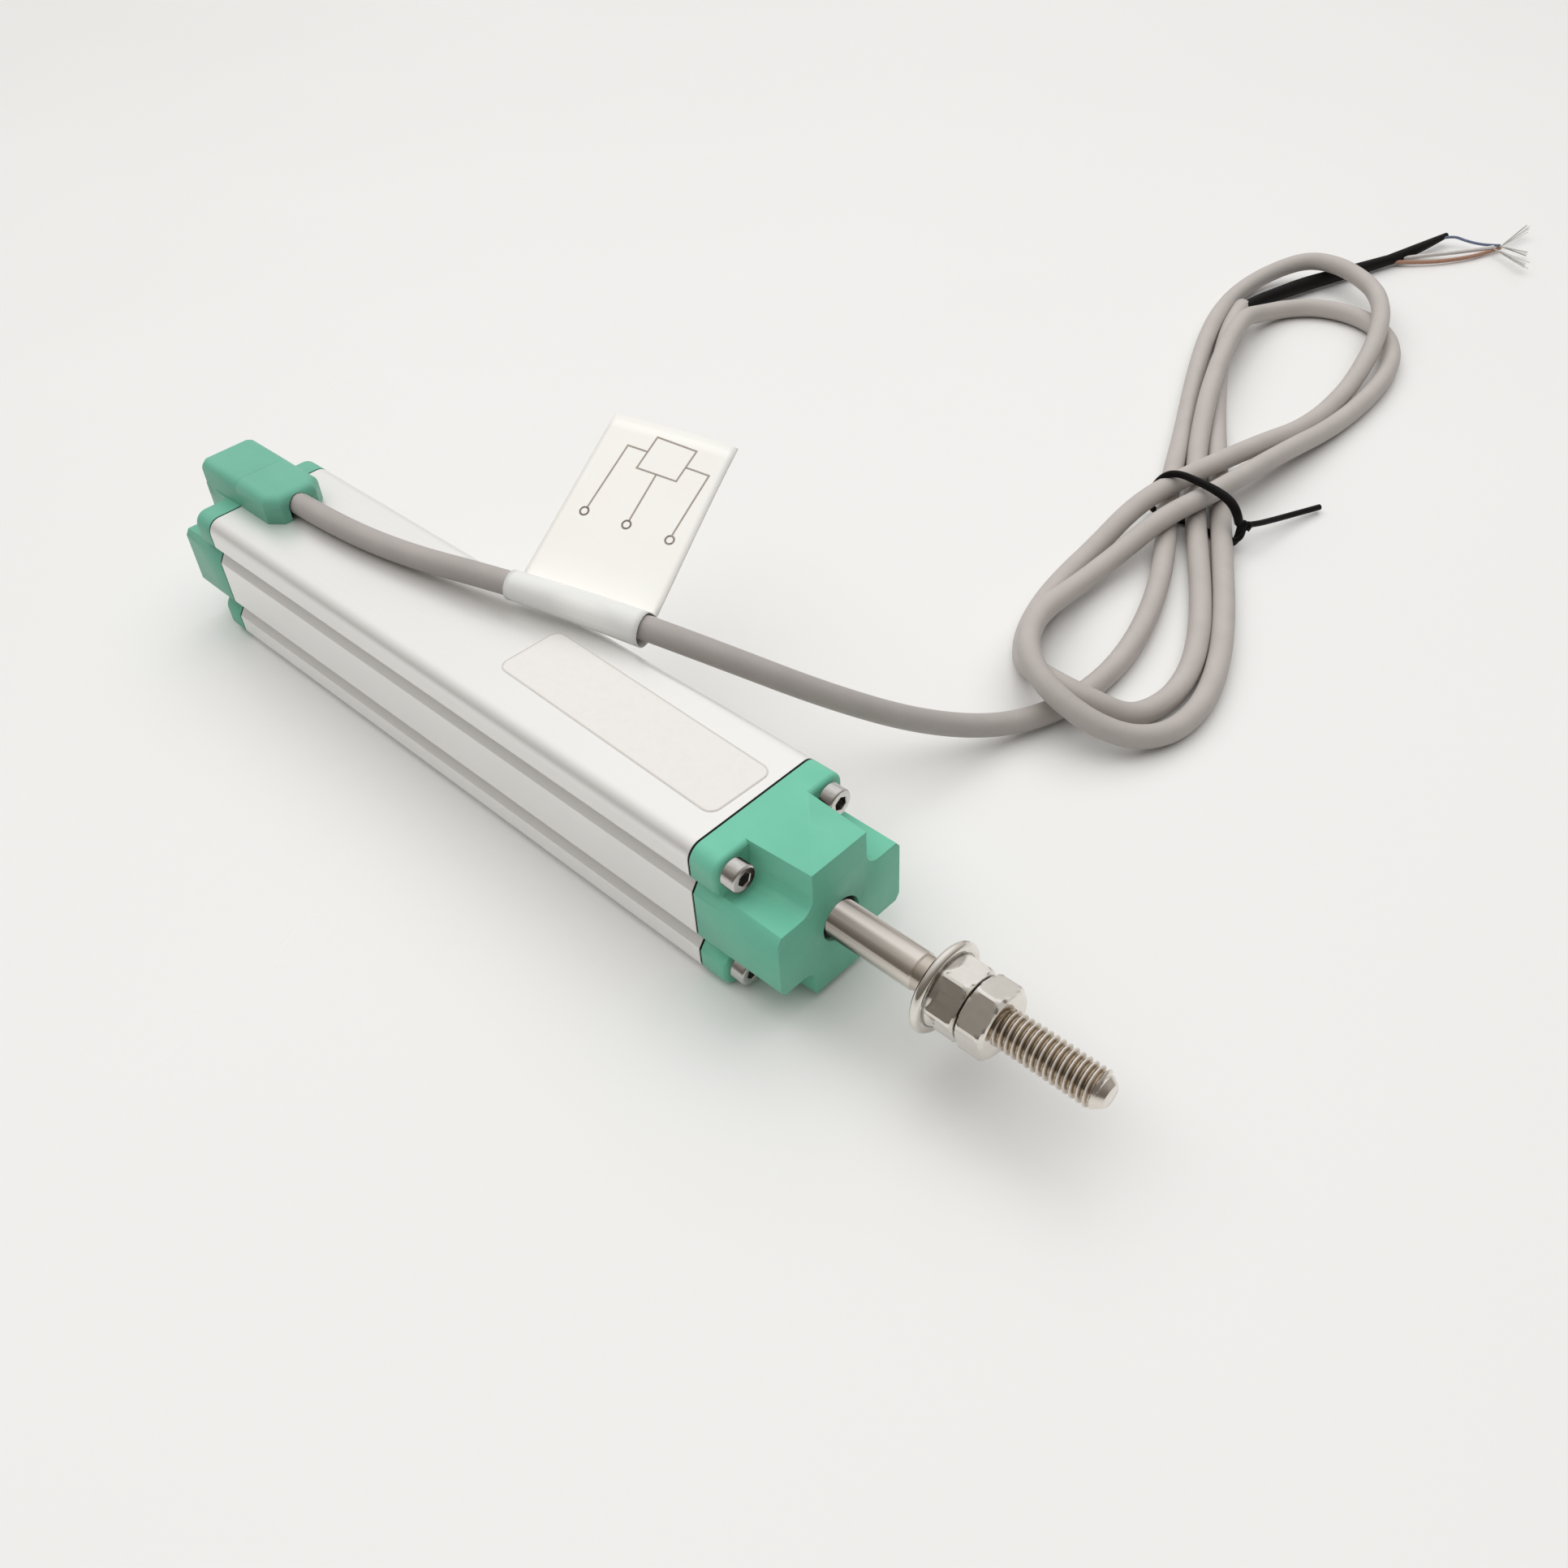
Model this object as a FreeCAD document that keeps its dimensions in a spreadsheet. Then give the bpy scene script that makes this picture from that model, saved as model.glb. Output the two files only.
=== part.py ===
import FreeCAD, Part
import math
import os
import Sketcher

# Rod-type linear potentiometer: square extruded housing, moulded end caps, sliding and turning rod,
# conductive track with a wiper carriage, and a lead with a flag tag, coiled in a tied figure of eight.
# Millimetres. +X runs along the rod to its threaded end, +Y to the side where the lead lies, +Z up.
# The origin is the middle of the housing's underside.

doc = FreeCAD.newDocument("linear_potentiometer")
sheet = doc.addObject("Spreadsheet::Sheet", "Sizes")
pieces = []


class Size:
    """A number together with the sheet expression that gives it."""

    def __init__(self, value, text):
        self.value = value
        self.text = text

    def joined(self, sign, other, value):
        return Size(value, "(%s %s %s)" % (self.text, sign, other.text))

    def __add__(self, other):
        other = sized(other)
        return self.joined("+", other, self.value + other.value)

    def __sub__(self, other):
        other = sized(other)
        return self.joined("-", other, self.value - other.value)

    def __mul__(self, other):
        other = sized(other)
        return self.joined("*", other, self.value * other.value)

    def __truediv__(self, other):
        other = sized(other)
        return self.joined("/", other, self.value / other.value)

    def __neg__(self):
        return Size(-self.value, "(-1 * %s)" % self.text)

    __radd__ = __add__

    __rmul__ = __mul__


def sized(number):
    """A plain number as a Size, and a Size as it is."""
    if isinstance(number, Size):
        return number
    return Size(float(number), str(float(number)))


def cell(name, number):
    """A driving dimension: one row of the sheet, with the name as its alias."""
    row = len(sheet.getUsedCells()) // 2 + 1
    sheet.set("A%d" % row, name)
    sheet.set("B%d" % row, str(number))
    sheet.setAlias("B%d" % row, name)
    return Size(float(number), "Sizes." + name)


# Housing extrusion
housing_length = cell("housing_length", 126)
housing_width = cell("housing_width", 26)
corner_radius = cell("corner_radius", 2.5)
notch_level = cell("notch_level", 6.15)
notch_depth = cell("notch_depth", 1.25)
panel_half = cell("panel_half", 4.3)
lobe_edge = cell("lobe_edge", 7.8)
edge_round = cell("edge_round", 0.6)
cavity_width = cell("cavity_width", 16)
cavity_height = cell("cavity_height", 15)
cavity_round = cell("cavity_round", 0.5)
board_slot_depth = cell("board_slot_depth", 1)

# Cap screws and gaskets
screw_offset = cell("screw_offset", 9.8)
screw_diameter = cell("screw_diameter", 2.4)
screw_hole_gap = cell("screw_hole_gap", 0.1)
screw_grip = cell("screw_grip", 6)
head_diameter = cell("head_diameter", 4.5)
head_height = cell("head_height", 2.5)
head_round = cell("head_round", 0.35)
socket_width = cell("socket_width", 2)
socket_depth = cell("socket_depth", 1.3)
gasket_thickness = cell("gasket_thickness", 0.4)
gasket_inset = cell("gasket_inset", 0.15)

# End caps
flange_thickness = cell("flange_thickness", 4.9)
flange_round = cell("flange_round", 0.8)
front_nose_length = cell("front_nose_length", 16)
rear_nose_length = cell("rear_nose_length", 12.6)
nose_arm_half = cell("nose_arm_half", 5.5)
nose_bar_half = cell("nose_bar_half", 6)
nose_reach = cell("nose_reach", 12.6)
nose_relief = cell("nose_relief", 1.5)
nose_pocket_round = cell("nose_pocket_round", 2.6)
spigot_length = cell("spigot_length", 4)
spigot_gap = cell("spigot_gap", 0.2)
spigot_floor_gap = cell("spigot_floor_gap", 0.7)

# Rod, its guide and its nuts
rod_diameter = cell("rod_diameter", 6)
rod_length = cell("rod_length", 164)
rod_window = cell("rod_window", 7.4)
running_gap = cell("running_gap", 0.03)
bush_diameter = cell("bush_diameter", 9)
bush_length = cell("bush_length", 14)
seal_length = cell("seal_length", 3)
seal_lip = cell("seal_lip", 0.6)
thread_diameter = cell("thread_diameter", 5.9)
thread_pitch_diameter = cell("thread_pitch_diameter", 5.35)
thread_relief_diameter = cell("thread_relief_diameter", 5.6)
thread_relief_length = cell("thread_relief_length", 3)
thread_point = cell("thread_point", 1.7)
thread_showing = cell("thread_showing", 16.4)
nut_width = cell("nut_width", 10)
nut_bore_gap = cell("nut_bore_gap", 0.04)
nut_bevel = cell("nut_bevel", 0.5)
hex_nut_height = cell("hex_nut_height", 4.6)
flange_nut_height = cell("flange_nut_height", 6.2)
flange_nut_diameter = cell("flange_nut_diameter", 14.2)
flange_nut_rim = cell("flange_nut_rim", 1.6)
flange_nut_skirt = cell("flange_nut_skirt", 0.9)
nut_turn = cell("nut_turn", 49)
lock_nut_turn = cell("lock_nut_turn", 41)

# Stops and travel
buffer_thickness = cell("buffer_thickness", 2)
buffer_margin = cell("buffer_margin", 1.5)
stop_gap = cell("stop_gap", 0.3)
overtravel = cell("overtravel", 1.5)

# Track board and terminals
board_end_gap = cell("board_end_gap", 4)
board_thickness = cell("board_thickness", 1.6)
board_gap = cell("board_gap", 0.1)
track_end_gap = cell("track_end_gap", 6)
track_width = cell("track_width", 4)
track_spacing = cell("track_spacing", 7)
track_thickness = cell("track_thickness", 0.12)
terminal_length = cell("terminal_length", 2.4)
terminal_width = cell("terminal_width", 1.8)
terminal_height = cell("terminal_height", 0.3)
terminal_pitch = cell("terminal_pitch", 3)

# Wiper carriage
carriage_length = cell("carriage_length", 36)
carriage_gap = cell("carriage_gap", 0.3)
carriage_rail = cell("carriage_rail", 2.6)
carriage_waist = cell("carriage_waist", 1.2)
carriage_clearance = cell("carriage_clearance", 1.3)
rod_socket_depth = cell("rod_socket_depth", 20)
neck_diameter = cell("neck_diameter", 4.2)
neck_width = cell("neck_width", 1.6)
neck_offset = cell("neck_offset", 4)
clip_thickness = cell("clip_thickness", 1.2)
clip_gap = cell("clip_gap", 0.1)
clip_width = cell("clip_width", 8.4)
wiper_length = cell("wiper_length", 11)
wiper_thickness = cell("wiper_thickness", 0.2)
wiper_pad = cell("wiper_pad", 3)
wiper_slit = cell("wiper_slit", 0.5)
wiper_gap = cell("wiper_gap", 0.05)

# Cable outlet on the rear cap
cable_diameter = cell("cable_diameter", 4.2)
cable_gap = cell("cable_gap", 0.1)
cable_lift = cell("cable_lift", 0.15)
outlet_half = cell("outlet_half", 5.8)
outlet_height = cell("outlet_height", 5.2)
outlet_length = cell("outlet_length", 11.8)
outlet_round = cell("outlet_round", 1.9)
outlet_rear_bevel = cell("outlet_rear_bevel", 1.2)
outlet_nose_half = cell("outlet_nose_half", 3.7)
outlet_nose_length = cell("outlet_nose_length", 2.6)
outlet_tongue = cell("outlet_tongue", 2.5)
outlet_tongue_half = cell("outlet_tongue_half", 4.2)
outlet_tongue_height = cell("outlet_tongue_height", 1.2)
chamber_half = cell("chamber_half", 5)
chamber_depth = cell("chamber_depth", 8.6)
duct_half = cell("duct_half", 2.7)
duct_length = cell("duct_length", 4.5)
lead_diameter = cell("lead_diameter", 1)

# Lead, tag, tie and bare ends
tag_length = cell("tag_length", 25.5)
tag_reach = cell("tag_reach", 31)
tag_wall = cell("tag_wall", 0.4)
tag_gap = cell("tag_gap", 0.25)
tag_film = cell("tag_film", 0.4)
tag_tilt = cell("tag_tilt", 26)
coil_height = cell("coil_height", 8.6)
tie_width = cell("tie_width", 2.4)
tie_thickness = cell("tie_thickness", 0.9)
sleeve_diameter = cell("sleeve_diameter", 3.2)
wire_diameter = cell("wire_diameter", 1.3)
drain_diameter = cell("drain_diameter", 1.8)

# Levels and stations that several pieces share
axis_height = housing_width / 2
housing_half = housing_width / 2
notch_reach = housing_half - notch_depth
cavity_floor = -(cavity_height / 2)
board_length = housing_length - 2 * board_end_gap
track_length = board_length - 2 * track_end_gap
board_top = cavity_floor + board_thickness
track_top = board_top + track_thickness
spigot_floor = board_top + spigot_floor_gap
seat = housing_length / 2 + gasket_thickness
spigot_top = cavity_height / 2 - spigot_gap
spigot_half = cavity_width / 2 - spigot_gap
rear_stop = spigot_length + buffer_thickness - seat
carriage_rear = rear_stop + stop_gap + overtravel
carriage_front = carriage_rear + carriage_length
rod_start = carriage_front - rod_socket_depth
rod_tip = rod_start + rod_length
hex_nut_start = rod_tip - thread_showing - hex_nut_height
flange_nut_start = hex_nut_start - flange_nut_height
cable_radius = cable_diameter / 2
cable_axis = housing_half + cable_lift + cable_radius
outlet_top = housing_half + outlet_height
outlet_back = -(housing_length / 2)
outlet_front = outlet_back + outlet_length
cable_start = seat * -1 - spigot_length / 2


def vector(x, y, z):
    return FreeCAD.Vector(x, y, z)


def bind(thing, path, amount):
    """Ties a property of an object to the sheet."""
    thing.setExpression(path, sized(amount).text)


def register(thing, label):
    """Names a finished sub-part and keeps it for the export."""
    thing.Label = label
    pieces.append(thing)
    return thing


def place(thing, x=0, y=0, z=0):
    for letter, amount in zip("xyz", (x, y, z)):
        bind(thing, "Placement.Base." + letter, amount)
    return thing


def new_body(label, x=0, several=False):
    """An empty body on the rod axis, with its own zero at station x."""
    body = doc.addObject("PartDesign::Body", label)
    body.AllowCompound = several
    place(body, x, 0, axis_height)
    return register(body, label)


def origin_part(body, role):
    return [part for part in body.Origin.OriginFeatures if part.Role == role][0]


def pin_point(sketch, element, point, u, v):
    """Holds one point of a sketch at sheet-driven coordinates."""
    for kind, amount, axis in (("DistanceX", sized(u), -2), ("DistanceY", sized(v), -1)):
        if amount.value == 0:
            sketch.addConstraint(Sketcher.Constraint("PointOnObject", element, point, axis))
            continue
        rule = Sketcher.Constraint(kind, -1, 1, element, point, amount.value)
        number = sketch.addConstraint(rule)
        bind(sketch, "Constraints[%d]" % number, amount)


def add_outline(sketch, corners):
    """A closed outline of straight edges through the corners."""
    first = sketch.GeometryCount
    count = len(corners)
    spots = [vector(sized(u).value, sized(v).value, 0) for u, v in corners]
    for step in range(count):
        sketch.addGeometry(Part.LineSegment(spots[step], spots[(step + 1) % count]))
    for step in range(count):
        follower = first + (step + 1) % count
        sketch.addConstraint(Sketcher.Constraint("Coincident", first + step, 2, follower, 1))
    for step, (u, v) in enumerate(corners):
        pin_point(sketch, first + step, 1, u, v)


def add_circle(sketch, u, v, diameter):
    middle = vector(sized(u).value, sized(v).value, 0)
    element = sketch.addGeometry(Part.Circle(middle, vector(0, 0, 1), sized(diameter).value / 2))
    pin_point(sketch, element, 3, u, v)
    number = sketch.addConstraint(Sketcher.Constraint("Diameter", element, sized(diameter).value))
    bind(sketch, "Constraints[%d]" % number, diameter)


def new_sketch(body, name, outlines=(), circles=(), role="YZ_Plane", offset=0):
    """A sketch on one of the body's own planes, set off along the plane's normal."""
    sketch = body.newObject("Sketcher::SketchObject", name)
    sketch.AttachmentSupport = [(origin_part(body, role), "")]
    sketch.MapMode = "FlatFace"
    bind(sketch, "AttachmentOffset.Base.z", offset)
    for corners in outlines:
        add_outline(sketch, corners)
    for u, v, diameter in circles:
        add_circle(sketch, u, v, diameter)
    return sketch


def pad(body, sketch, length, backwards=False):
    feature = body.newObject("PartDesign::Pad", sketch.Name + "_pad")
    feature.Profile = (sketch, [""])
    feature.Reversed = backwards
    bind(feature, "Length", length)
    return feature


def pocket(body, sketch, length, along_normal=True):
    """A cut from the sketch plane; by default it runs along the plane's normal."""
    feature = body.newObject("PartDesign::Pocket", sketch.Name + "_pocket")
    feature.Profile = (sketch, [""])
    feature.Reversed = along_normal
    bind(feature, "Length", length)
    return feature


def turned(body, name, corners):
    """A solid of revolution about the body's own X axis, from a half outline of (x, radius)."""
    sketch = new_sketch(body, name, [corners], role="XZ_Plane")
    feature = body.newObject("PartDesign::Revolution", name + "_turn")
    feature.Profile = (sketch, [""])
    feature.ReferenceAxis = (sketch, ["H_Axis"])
    feature.Angle = 360
    return feature


def edges_where(feature, test):
    """Names of the edges whose two ends both pass the test."""
    doc.recompute()
    names = []
    for number, edge in enumerate(feature.Shape.Edges):
        ends = [vertex.Point for vertex in edge.Vertexes]
        if len(ends) == 2 and all(test(end) for end in ends):
            names.append("Edge%d" % (number + 1))
    return names


def long_edges_where(feature, test):
    """Names of the edges along X whose ends pass the test on (y, z)."""
    names = []
    for name in edges_where(feature, lambda end: test(end.y, end.z)):
        first, last = feature.Shape.getElement(name).Vertexes
        if abs(first.Point.x - last.Point.x) > 0.5 * abs(first.Point.sub(last.Point).Length):
            names.append(name)
    return names


def round_edges(body, feature, names, radius):
    rounding = body.newObject("PartDesign::Fillet", feature.Name + "_round")
    rounding.Base = (feature, names)
    bind(rounding, "Radius", radius)
    return rounding


def near(number, size):
    return abs(number - sized(size).value) < 0.01


def mirrored_ring(quarter):
    """A whole outline from its corners in the quarter where y and z are positive, top to side."""
    right_down = [(u, -v) for u, v in reversed(quarter)]
    left_down = [(-u, -v) for u, v in quarter]
    left_up = [(-u, v) for u, v in reversed(quarter)]
    return quarter + right_down + left_down + left_up


def square_outline(inset):
    """The housing's outline, with its V notches between corner lobes and side panels, drawn in by inset."""
    side = housing_half - inset
    return mirrored_ring([
        (side, side),
        (side, lobe_edge),
        (notch_reach - inset, notch_level),
        (side, panel_half),
    ])


def at_square_corner(y, z):
    """True on the long edges at the four corners of the housing's square."""
    return near(abs(y), housing_half) and near(abs(z), housing_half)


def rectangle(left, right, low, high):
    return [(left, low), (right, low), (right, high), (left, high)]


def four_circles(diameter):
    places = (screw_offset, -screw_offset)
    return [(across, up, diameter) for across in places for up in places]


def make_housing():
    body = new_body("housing", -(housing_length / 2))
    extrusion = pad(body, new_sketch(body, "housing_outline", [square_outline(sized(0))]), housing_length)
    corners = long_edges_where(extrusion, at_square_corner)
    rounded = round_edges(body, extrusion, corners, corner_radius)
    notch_edges = long_edges_where(
        rounded,
        lambda y, z: near(abs(y), housing_half) and (near(abs(z), lobe_edge) or near(abs(z), panel_half)),
    )
    round_edges(body, rounded, notch_edges, edge_round)
    cavity = rectangle(-(cavity_width / 2), cavity_width / 2, cavity_floor, cavity_height / 2)
    bored = pocket(body, new_sketch(body, "housing_cavity", [cavity]), housing_length)
    upper = long_edges_where(
        bored,
        lambda y, z: near(abs(y), cavity_width / 2) and near(z, cavity_height / 2),
    )
    round_edges(body, bored, upper, cavity_round)
    slot_half = cavity_width / 2 + board_slot_depth
    slots = rectangle(-slot_half, slot_half, cavity_floor, board_top + board_gap)
    pocket(body, new_sketch(body, "board_slots", [slots]), housing_length)
    holes = four_circles(screw_diameter + 2 * screw_hole_gap)
    pocket(body, new_sketch(body, "screw_channels", circles=holes), housing_length)


def make_gasket(label, station):
    body = new_body(label, station)
    window = rectangle(-(cavity_width / 2), cavity_width / 2, cavity_floor, cavity_height / 2)
    holes = four_circles(screw_diameter + 2 * screw_hole_gap)
    sketch = new_sketch(body, label + "_outline", [square_outline(gasket_inset), window], holes)
    sheet_pad = pad(body, sketch, gasket_thickness)
    side = housing_half - gasket_inset
    corners = long_edges_where(sheet_pad, lambda y, z: near(abs(y), side) and near(abs(z), side))
    round_edges(body, sheet_pad, corners, corner_radius - gasket_inset)


def add_nose(body, label, nose_length):
    """A plus-shaped nose: a drafted upright, and a crossbar whose ends are drafted and bevelled."""
    bottom = nose_relief - housing_half
    upright = [
        (0, -notch_level),
        (flange_thickness, -notch_level),
        (nose_length, -nose_arm_half),
        (nose_length, nose_arm_half),
        (flange_thickness, notch_level),
        (0, notch_level),
    ]
    plan = new_sketch(body, label + "_upright", [upright], role="XY_Plane", offset=bottom)
    pad(body, plan, housing_half - bottom)
    crossbar = [
        (flange_thickness, -notch_level),
        (nose_length, -nose_bar_half),
        (nose_length, nose_bar_half),
        (flange_thickness, notch_level),
    ]
    side_view = new_sketch(body, label + "_crossbar", [crossbar], role="XZ_Plane", offset=-housing_half)
    arms = pad(body, side_view, housing_width)
    inner = [
        name for name in edges_where(arms, lambda end: end.x > flange_thickness.value - 0.01)
        if inner_corner(arms.Shape.getElement(name))
    ]
    round_edges(body, arms, inner, nose_pocket_round)
    tapers = []
    bevels = []
    for side in (-1, 1):
        tapers.append([
            (flange_thickness, side * housing_half),
            (nose_length, side * nose_reach),
            (nose_length, side * housing_half),
        ])
        for level in (-1, 1):
            bevels.append([
                (side * housing_half, level * panel_half),
                (side * notch_reach, level * notch_level),
                (side * housing_half, level * notch_level),
            ])
    taper_plan = new_sketch(body, label + "_side_draft", tapers, role="XY_Plane", offset=-housing_half)
    pocket(body, taper_plan, housing_width)
    bevel_view = new_sketch(body, label + "_bevels", bevels, offset=flange_thickness)
    pocket(body, bevel_view, nose_length)


def cap_base(label, station, nose_length):
    """Flange, plus-shaped nose and spigot that an end cap starts from; the nose points along +X."""
    body = new_body(label, station)
    flange = pad(body, new_sketch(body, label + "_flange", [square_outline(sized(0))]), flange_thickness)
    corners = long_edges_where(flange, at_square_corner)
    rounded = round_edges(body, flange, corners, corner_radius)
    lobes = edges_where(rounded, lambda end: near(end.x, flange_thickness) and lobe_rim(end))
    round_edges(body, rounded, lobes, flange_round)
    add_nose(body, label, nose_length)
    spigot = rectangle(-spigot_half, spigot_half, spigot_floor, spigot_top)
    pad(body, new_sketch(body, label + "_spigot", [spigot]), spigot_length, backwards=True)
    holes = four_circles(screw_diameter + 2 * screw_hole_gap)
    pocket(body, new_sketch(body, label + "_screw_holes", circles=holes), flange_thickness)
    return body


def inner_corner(edge):
    """True for the nose's concave edges, which run from root to tip where two arms meet."""
    ends = [vertex.Point for vertex in edge.Vertexes]
    spread = abs(ends[0].x - ends[1].x)
    return spread > 1 and all(max(abs(end.y), abs(end.z)) < notch_level.value + 0.01 for end in ends)


def lobe_rim(end):
    """True for points on the outer edge of the flange's corner lobes."""
    on_side = near(abs(end.y), housing_half) and abs(end.z) > lobe_edge.value - 0.01
    on_top = near(abs(end.z), housing_half) and abs(end.y) > notch_level.value + 0.01
    return on_side or on_top


def make_front_cap():
    body = cap_base("front_cap", seat, front_nose_length)
    seat_depth = bush_length + seal_length
    bush_seat = new_sketch(body, "bush_seat", circles=[(0, 0, bush_diameter)], offset=-spigot_length)
    pocket(body, bush_seat, seat_depth)
    window = new_sketch(body, "rod_window", circles=[(0, 0, rod_window)], offset=-spigot_length)
    pocket(body, window, spigot_length + front_nose_length)


def make_rod_guide():
    """Plain bearing bush, lip seal and stop buffer, in that order behind the front window."""
    bush = new_body("rod_bush", seat - spigot_length)
    ring = [(0, 0, bush_diameter), (0, 0, rod_diameter + 2 * running_gap)]
    pad(bush, new_sketch(bush, "bush_ring", circles=ring), bush_length)
    seal = new_body("rod_seal", seat - spigot_length + bush_length)
    bore = rod_diameter / 2 + running_gap
    outer = bush_diameter / 2
    turned(seal, "seal_section", [
        (0, outer),
        (0, bore + seal_lip),
        (seal_length / 2, bore + seal_lip),
        (seal_length - seal_lip, bore),
        (seal_length, bore),
        (seal_length, outer),
    ])
    stop = new_body("front_buffer", seat - spigot_length - buffer_thickness)
    buffer_pad(stop, "front_buffer_pad", [(0, 0, rod_diameter + 2 * stop_gap)])


def buffer_pad(body, name, holes):
    half = spigot_half - buffer_margin
    outline = rectangle(-half, half, spigot_floor, spigot_top - buffer_margin)
    pad(body, new_sketch(body, name, [outline], holes), buffer_thickness)


def make_rear_cap():
    """Built nose-forward like the front cap, then turned about Z so that its nose points to -X."""
    body = cap_base("rear_cap", -seat, rear_nose_length)
    body.Placement.Rotation = FreeCAD.Rotation(vector(0, 0, 1), 180)
    block_start = -gasket_thickness
    shoulder = rear_nose_length - outlet_rear_bevel
    narrow = outlet_half - outlet_rear_bevel
    block_plan = [
        (0, -outlet_half),
        (shoulder, -outlet_half),
        (rear_nose_length, -narrow),
        (rear_nose_length, narrow),
        (shoulder, outlet_half),
        (0, outlet_half),
    ]
    root = housing_half - nose_relief
    pad(body, new_sketch(body, "outlet_block", [block_plan], role="XY_Plane", offset=root), outlet_top - root)
    overhang = rectangle(-outlet_half, outlet_half, housing_half, outlet_top)
    raised = pad(body, new_sketch(body, "outlet_overhang", [overhang]), gasket_thickness, backwards=True)
    rims = edges_where(raised, lambda end: near(end.z, outlet_top) and end.x > block_start.value - 0.01)
    rims = [name for name in rims if not flat_at(raised.Shape.getElement(name), block_start)]
    round_edges(body, raised, rims, outlet_round)
    chamber = rectangle(-chamber_half, chamber_half, spigot_floor, chamber_half)
    chamber_sketch = new_sketch(body, "lead_chamber", [chamber], offset=-spigot_length)
    pocket(body, chamber_sketch, chamber_depth + spigot_length)
    duct = rectangle(chamber_depth - duct_length, chamber_depth, -duct_half, duct_half)
    pocket(body, new_sketch(body, "lead_duct", [duct], role="XY_Plane"), cable_axis + cable_radius)
    cable_hole = [(0, cable_axis, cable_diameter + 2 * cable_gap)]
    bore = new_sketch(body, "cable_bore", circles=cable_hole, offset=block_start)
    pocket(body, bore, chamber_depth + gasket_thickness)
    half = outlet_tongue_half + cable_gap
    groove = rectangle(-half, half, housing_half, housing_half + outlet_tongue_height + cable_gap)
    pocket(body, new_sketch(body, "tongue_groove", [groove], offset=block_start), outlet_tongue + cable_gap)
    sinks = four_circles(head_diameter + 2 * screw_hole_gap)
    sink_floor = flange_thickness - head_height
    pocket(body, new_sketch(body, "head_sinks", circles=sinks, offset=sink_floor), head_height)


def flat_at(edge, station):
    return all(near(vertex.Point.x, station) for vertex in edge.Vertexes)


def make_rear_buffer():
    body = new_body("rear_buffer", -seat + spigot_length)
    half = spigot_half - buffer_margin
    outline = rectangle(-half, half, chamber_half, spigot_top)
    pad(body, new_sketch(body, "rear_buffer_pad", [outline]), buffer_thickness)


def make_cable_outlet():
    """Front half of the outlet block: a saddle over the cable, on the housing's top."""
    body = new_body("cable_outlet", outlet_back)
    shoulder = outlet_length - outlet_nose_length
    plan = [
        (0, -outlet_half),
        (shoulder, -outlet_half),
        (outlet_length, -outlet_nose_half),
        (outlet_length, outlet_nose_half),
        (shoulder, outlet_half),
        (0, outlet_half),
    ]
    saddle_plan = new_sketch(body, "saddle_plan", [plan], role="XY_Plane", offset=housing_half)
    saddle = pad(body, saddle_plan, outlet_height)
    rims = edges_where(saddle, lambda end: near(end.z, outlet_top))
    rims = [name for name in rims if not flat_at(saddle.Shape.getElement(name), 0)]
    round_edges(body, saddle, rims, outlet_round)
    tongue_top = housing_half + outlet_tongue_height
    tongue = rectangle(-outlet_tongue_half, outlet_tongue_half, housing_half, tongue_top)
    pad(body, new_sketch(body, "saddle_tongue", [tongue]), outlet_tongue, backwards=True)
    whole = outlet_length + outlet_tongue
    groove_half = cable_radius + cable_gap
    open_foot = rectangle(-groove_half, groove_half, housing_half, cable_axis)
    pocket(body, new_sketch(body, "saddle_foot", [open_foot], offset=-outlet_tongue), whole)
    arch = [(0, cable_axis, cable_diameter + 2 * cable_gap)]
    pocket(body, new_sketch(body, "saddle_arch", circles=arch, offset=-outlet_tongue), whole)


def make_screws(label, station, turn):
    """Four socket-head screws; the heads sit on the front cap's flange, and sunk in the rear cap's."""
    body = new_body(label, station, several=True)
    body.Placement.Rotation = FreeCAD.Rotation(vector(0, 0, 1), turn)
    shank = flange_thickness + gasket_thickness + screw_grip
    pad(body, new_sketch(body, label + "_shank", circles=four_circles(screw_diameter)), shank, backwards=True)
    heads = pad(body, new_sketch(body, label + "_head", circles=four_circles(head_diameter)), head_height)
    doc.recompute()
    rims = [
        "Edge%d" % (number + 1) for number, edge in enumerate(heads.Shape.Edges)
        if len(edge.Vertexes) == 1 and near(edge.Vertexes[0].Point.x, head_height)
    ]
    round_edges(body, heads, rims, head_round)
    sockets = [hexagon(socket_width, u, v) for u, v, _ in four_circles(socket_width)]
    socket = new_sketch(body, label + "_socket", sockets, offset=head_height)
    pocket(body, socket, socket_depth, along_normal=False)


def hexagon(width, u=0, v=0, turn=0):
    """Corners of a hexagon of the given width over flats."""
    corners = []
    for step in range(6):
        angle = math.radians(sized(turn).value + 60 * step)
        reach = width / math.sqrt(3)
        corners.append((u + reach * math.cos(angle), v + reach * math.sin(angle)))
    return corners


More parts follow.
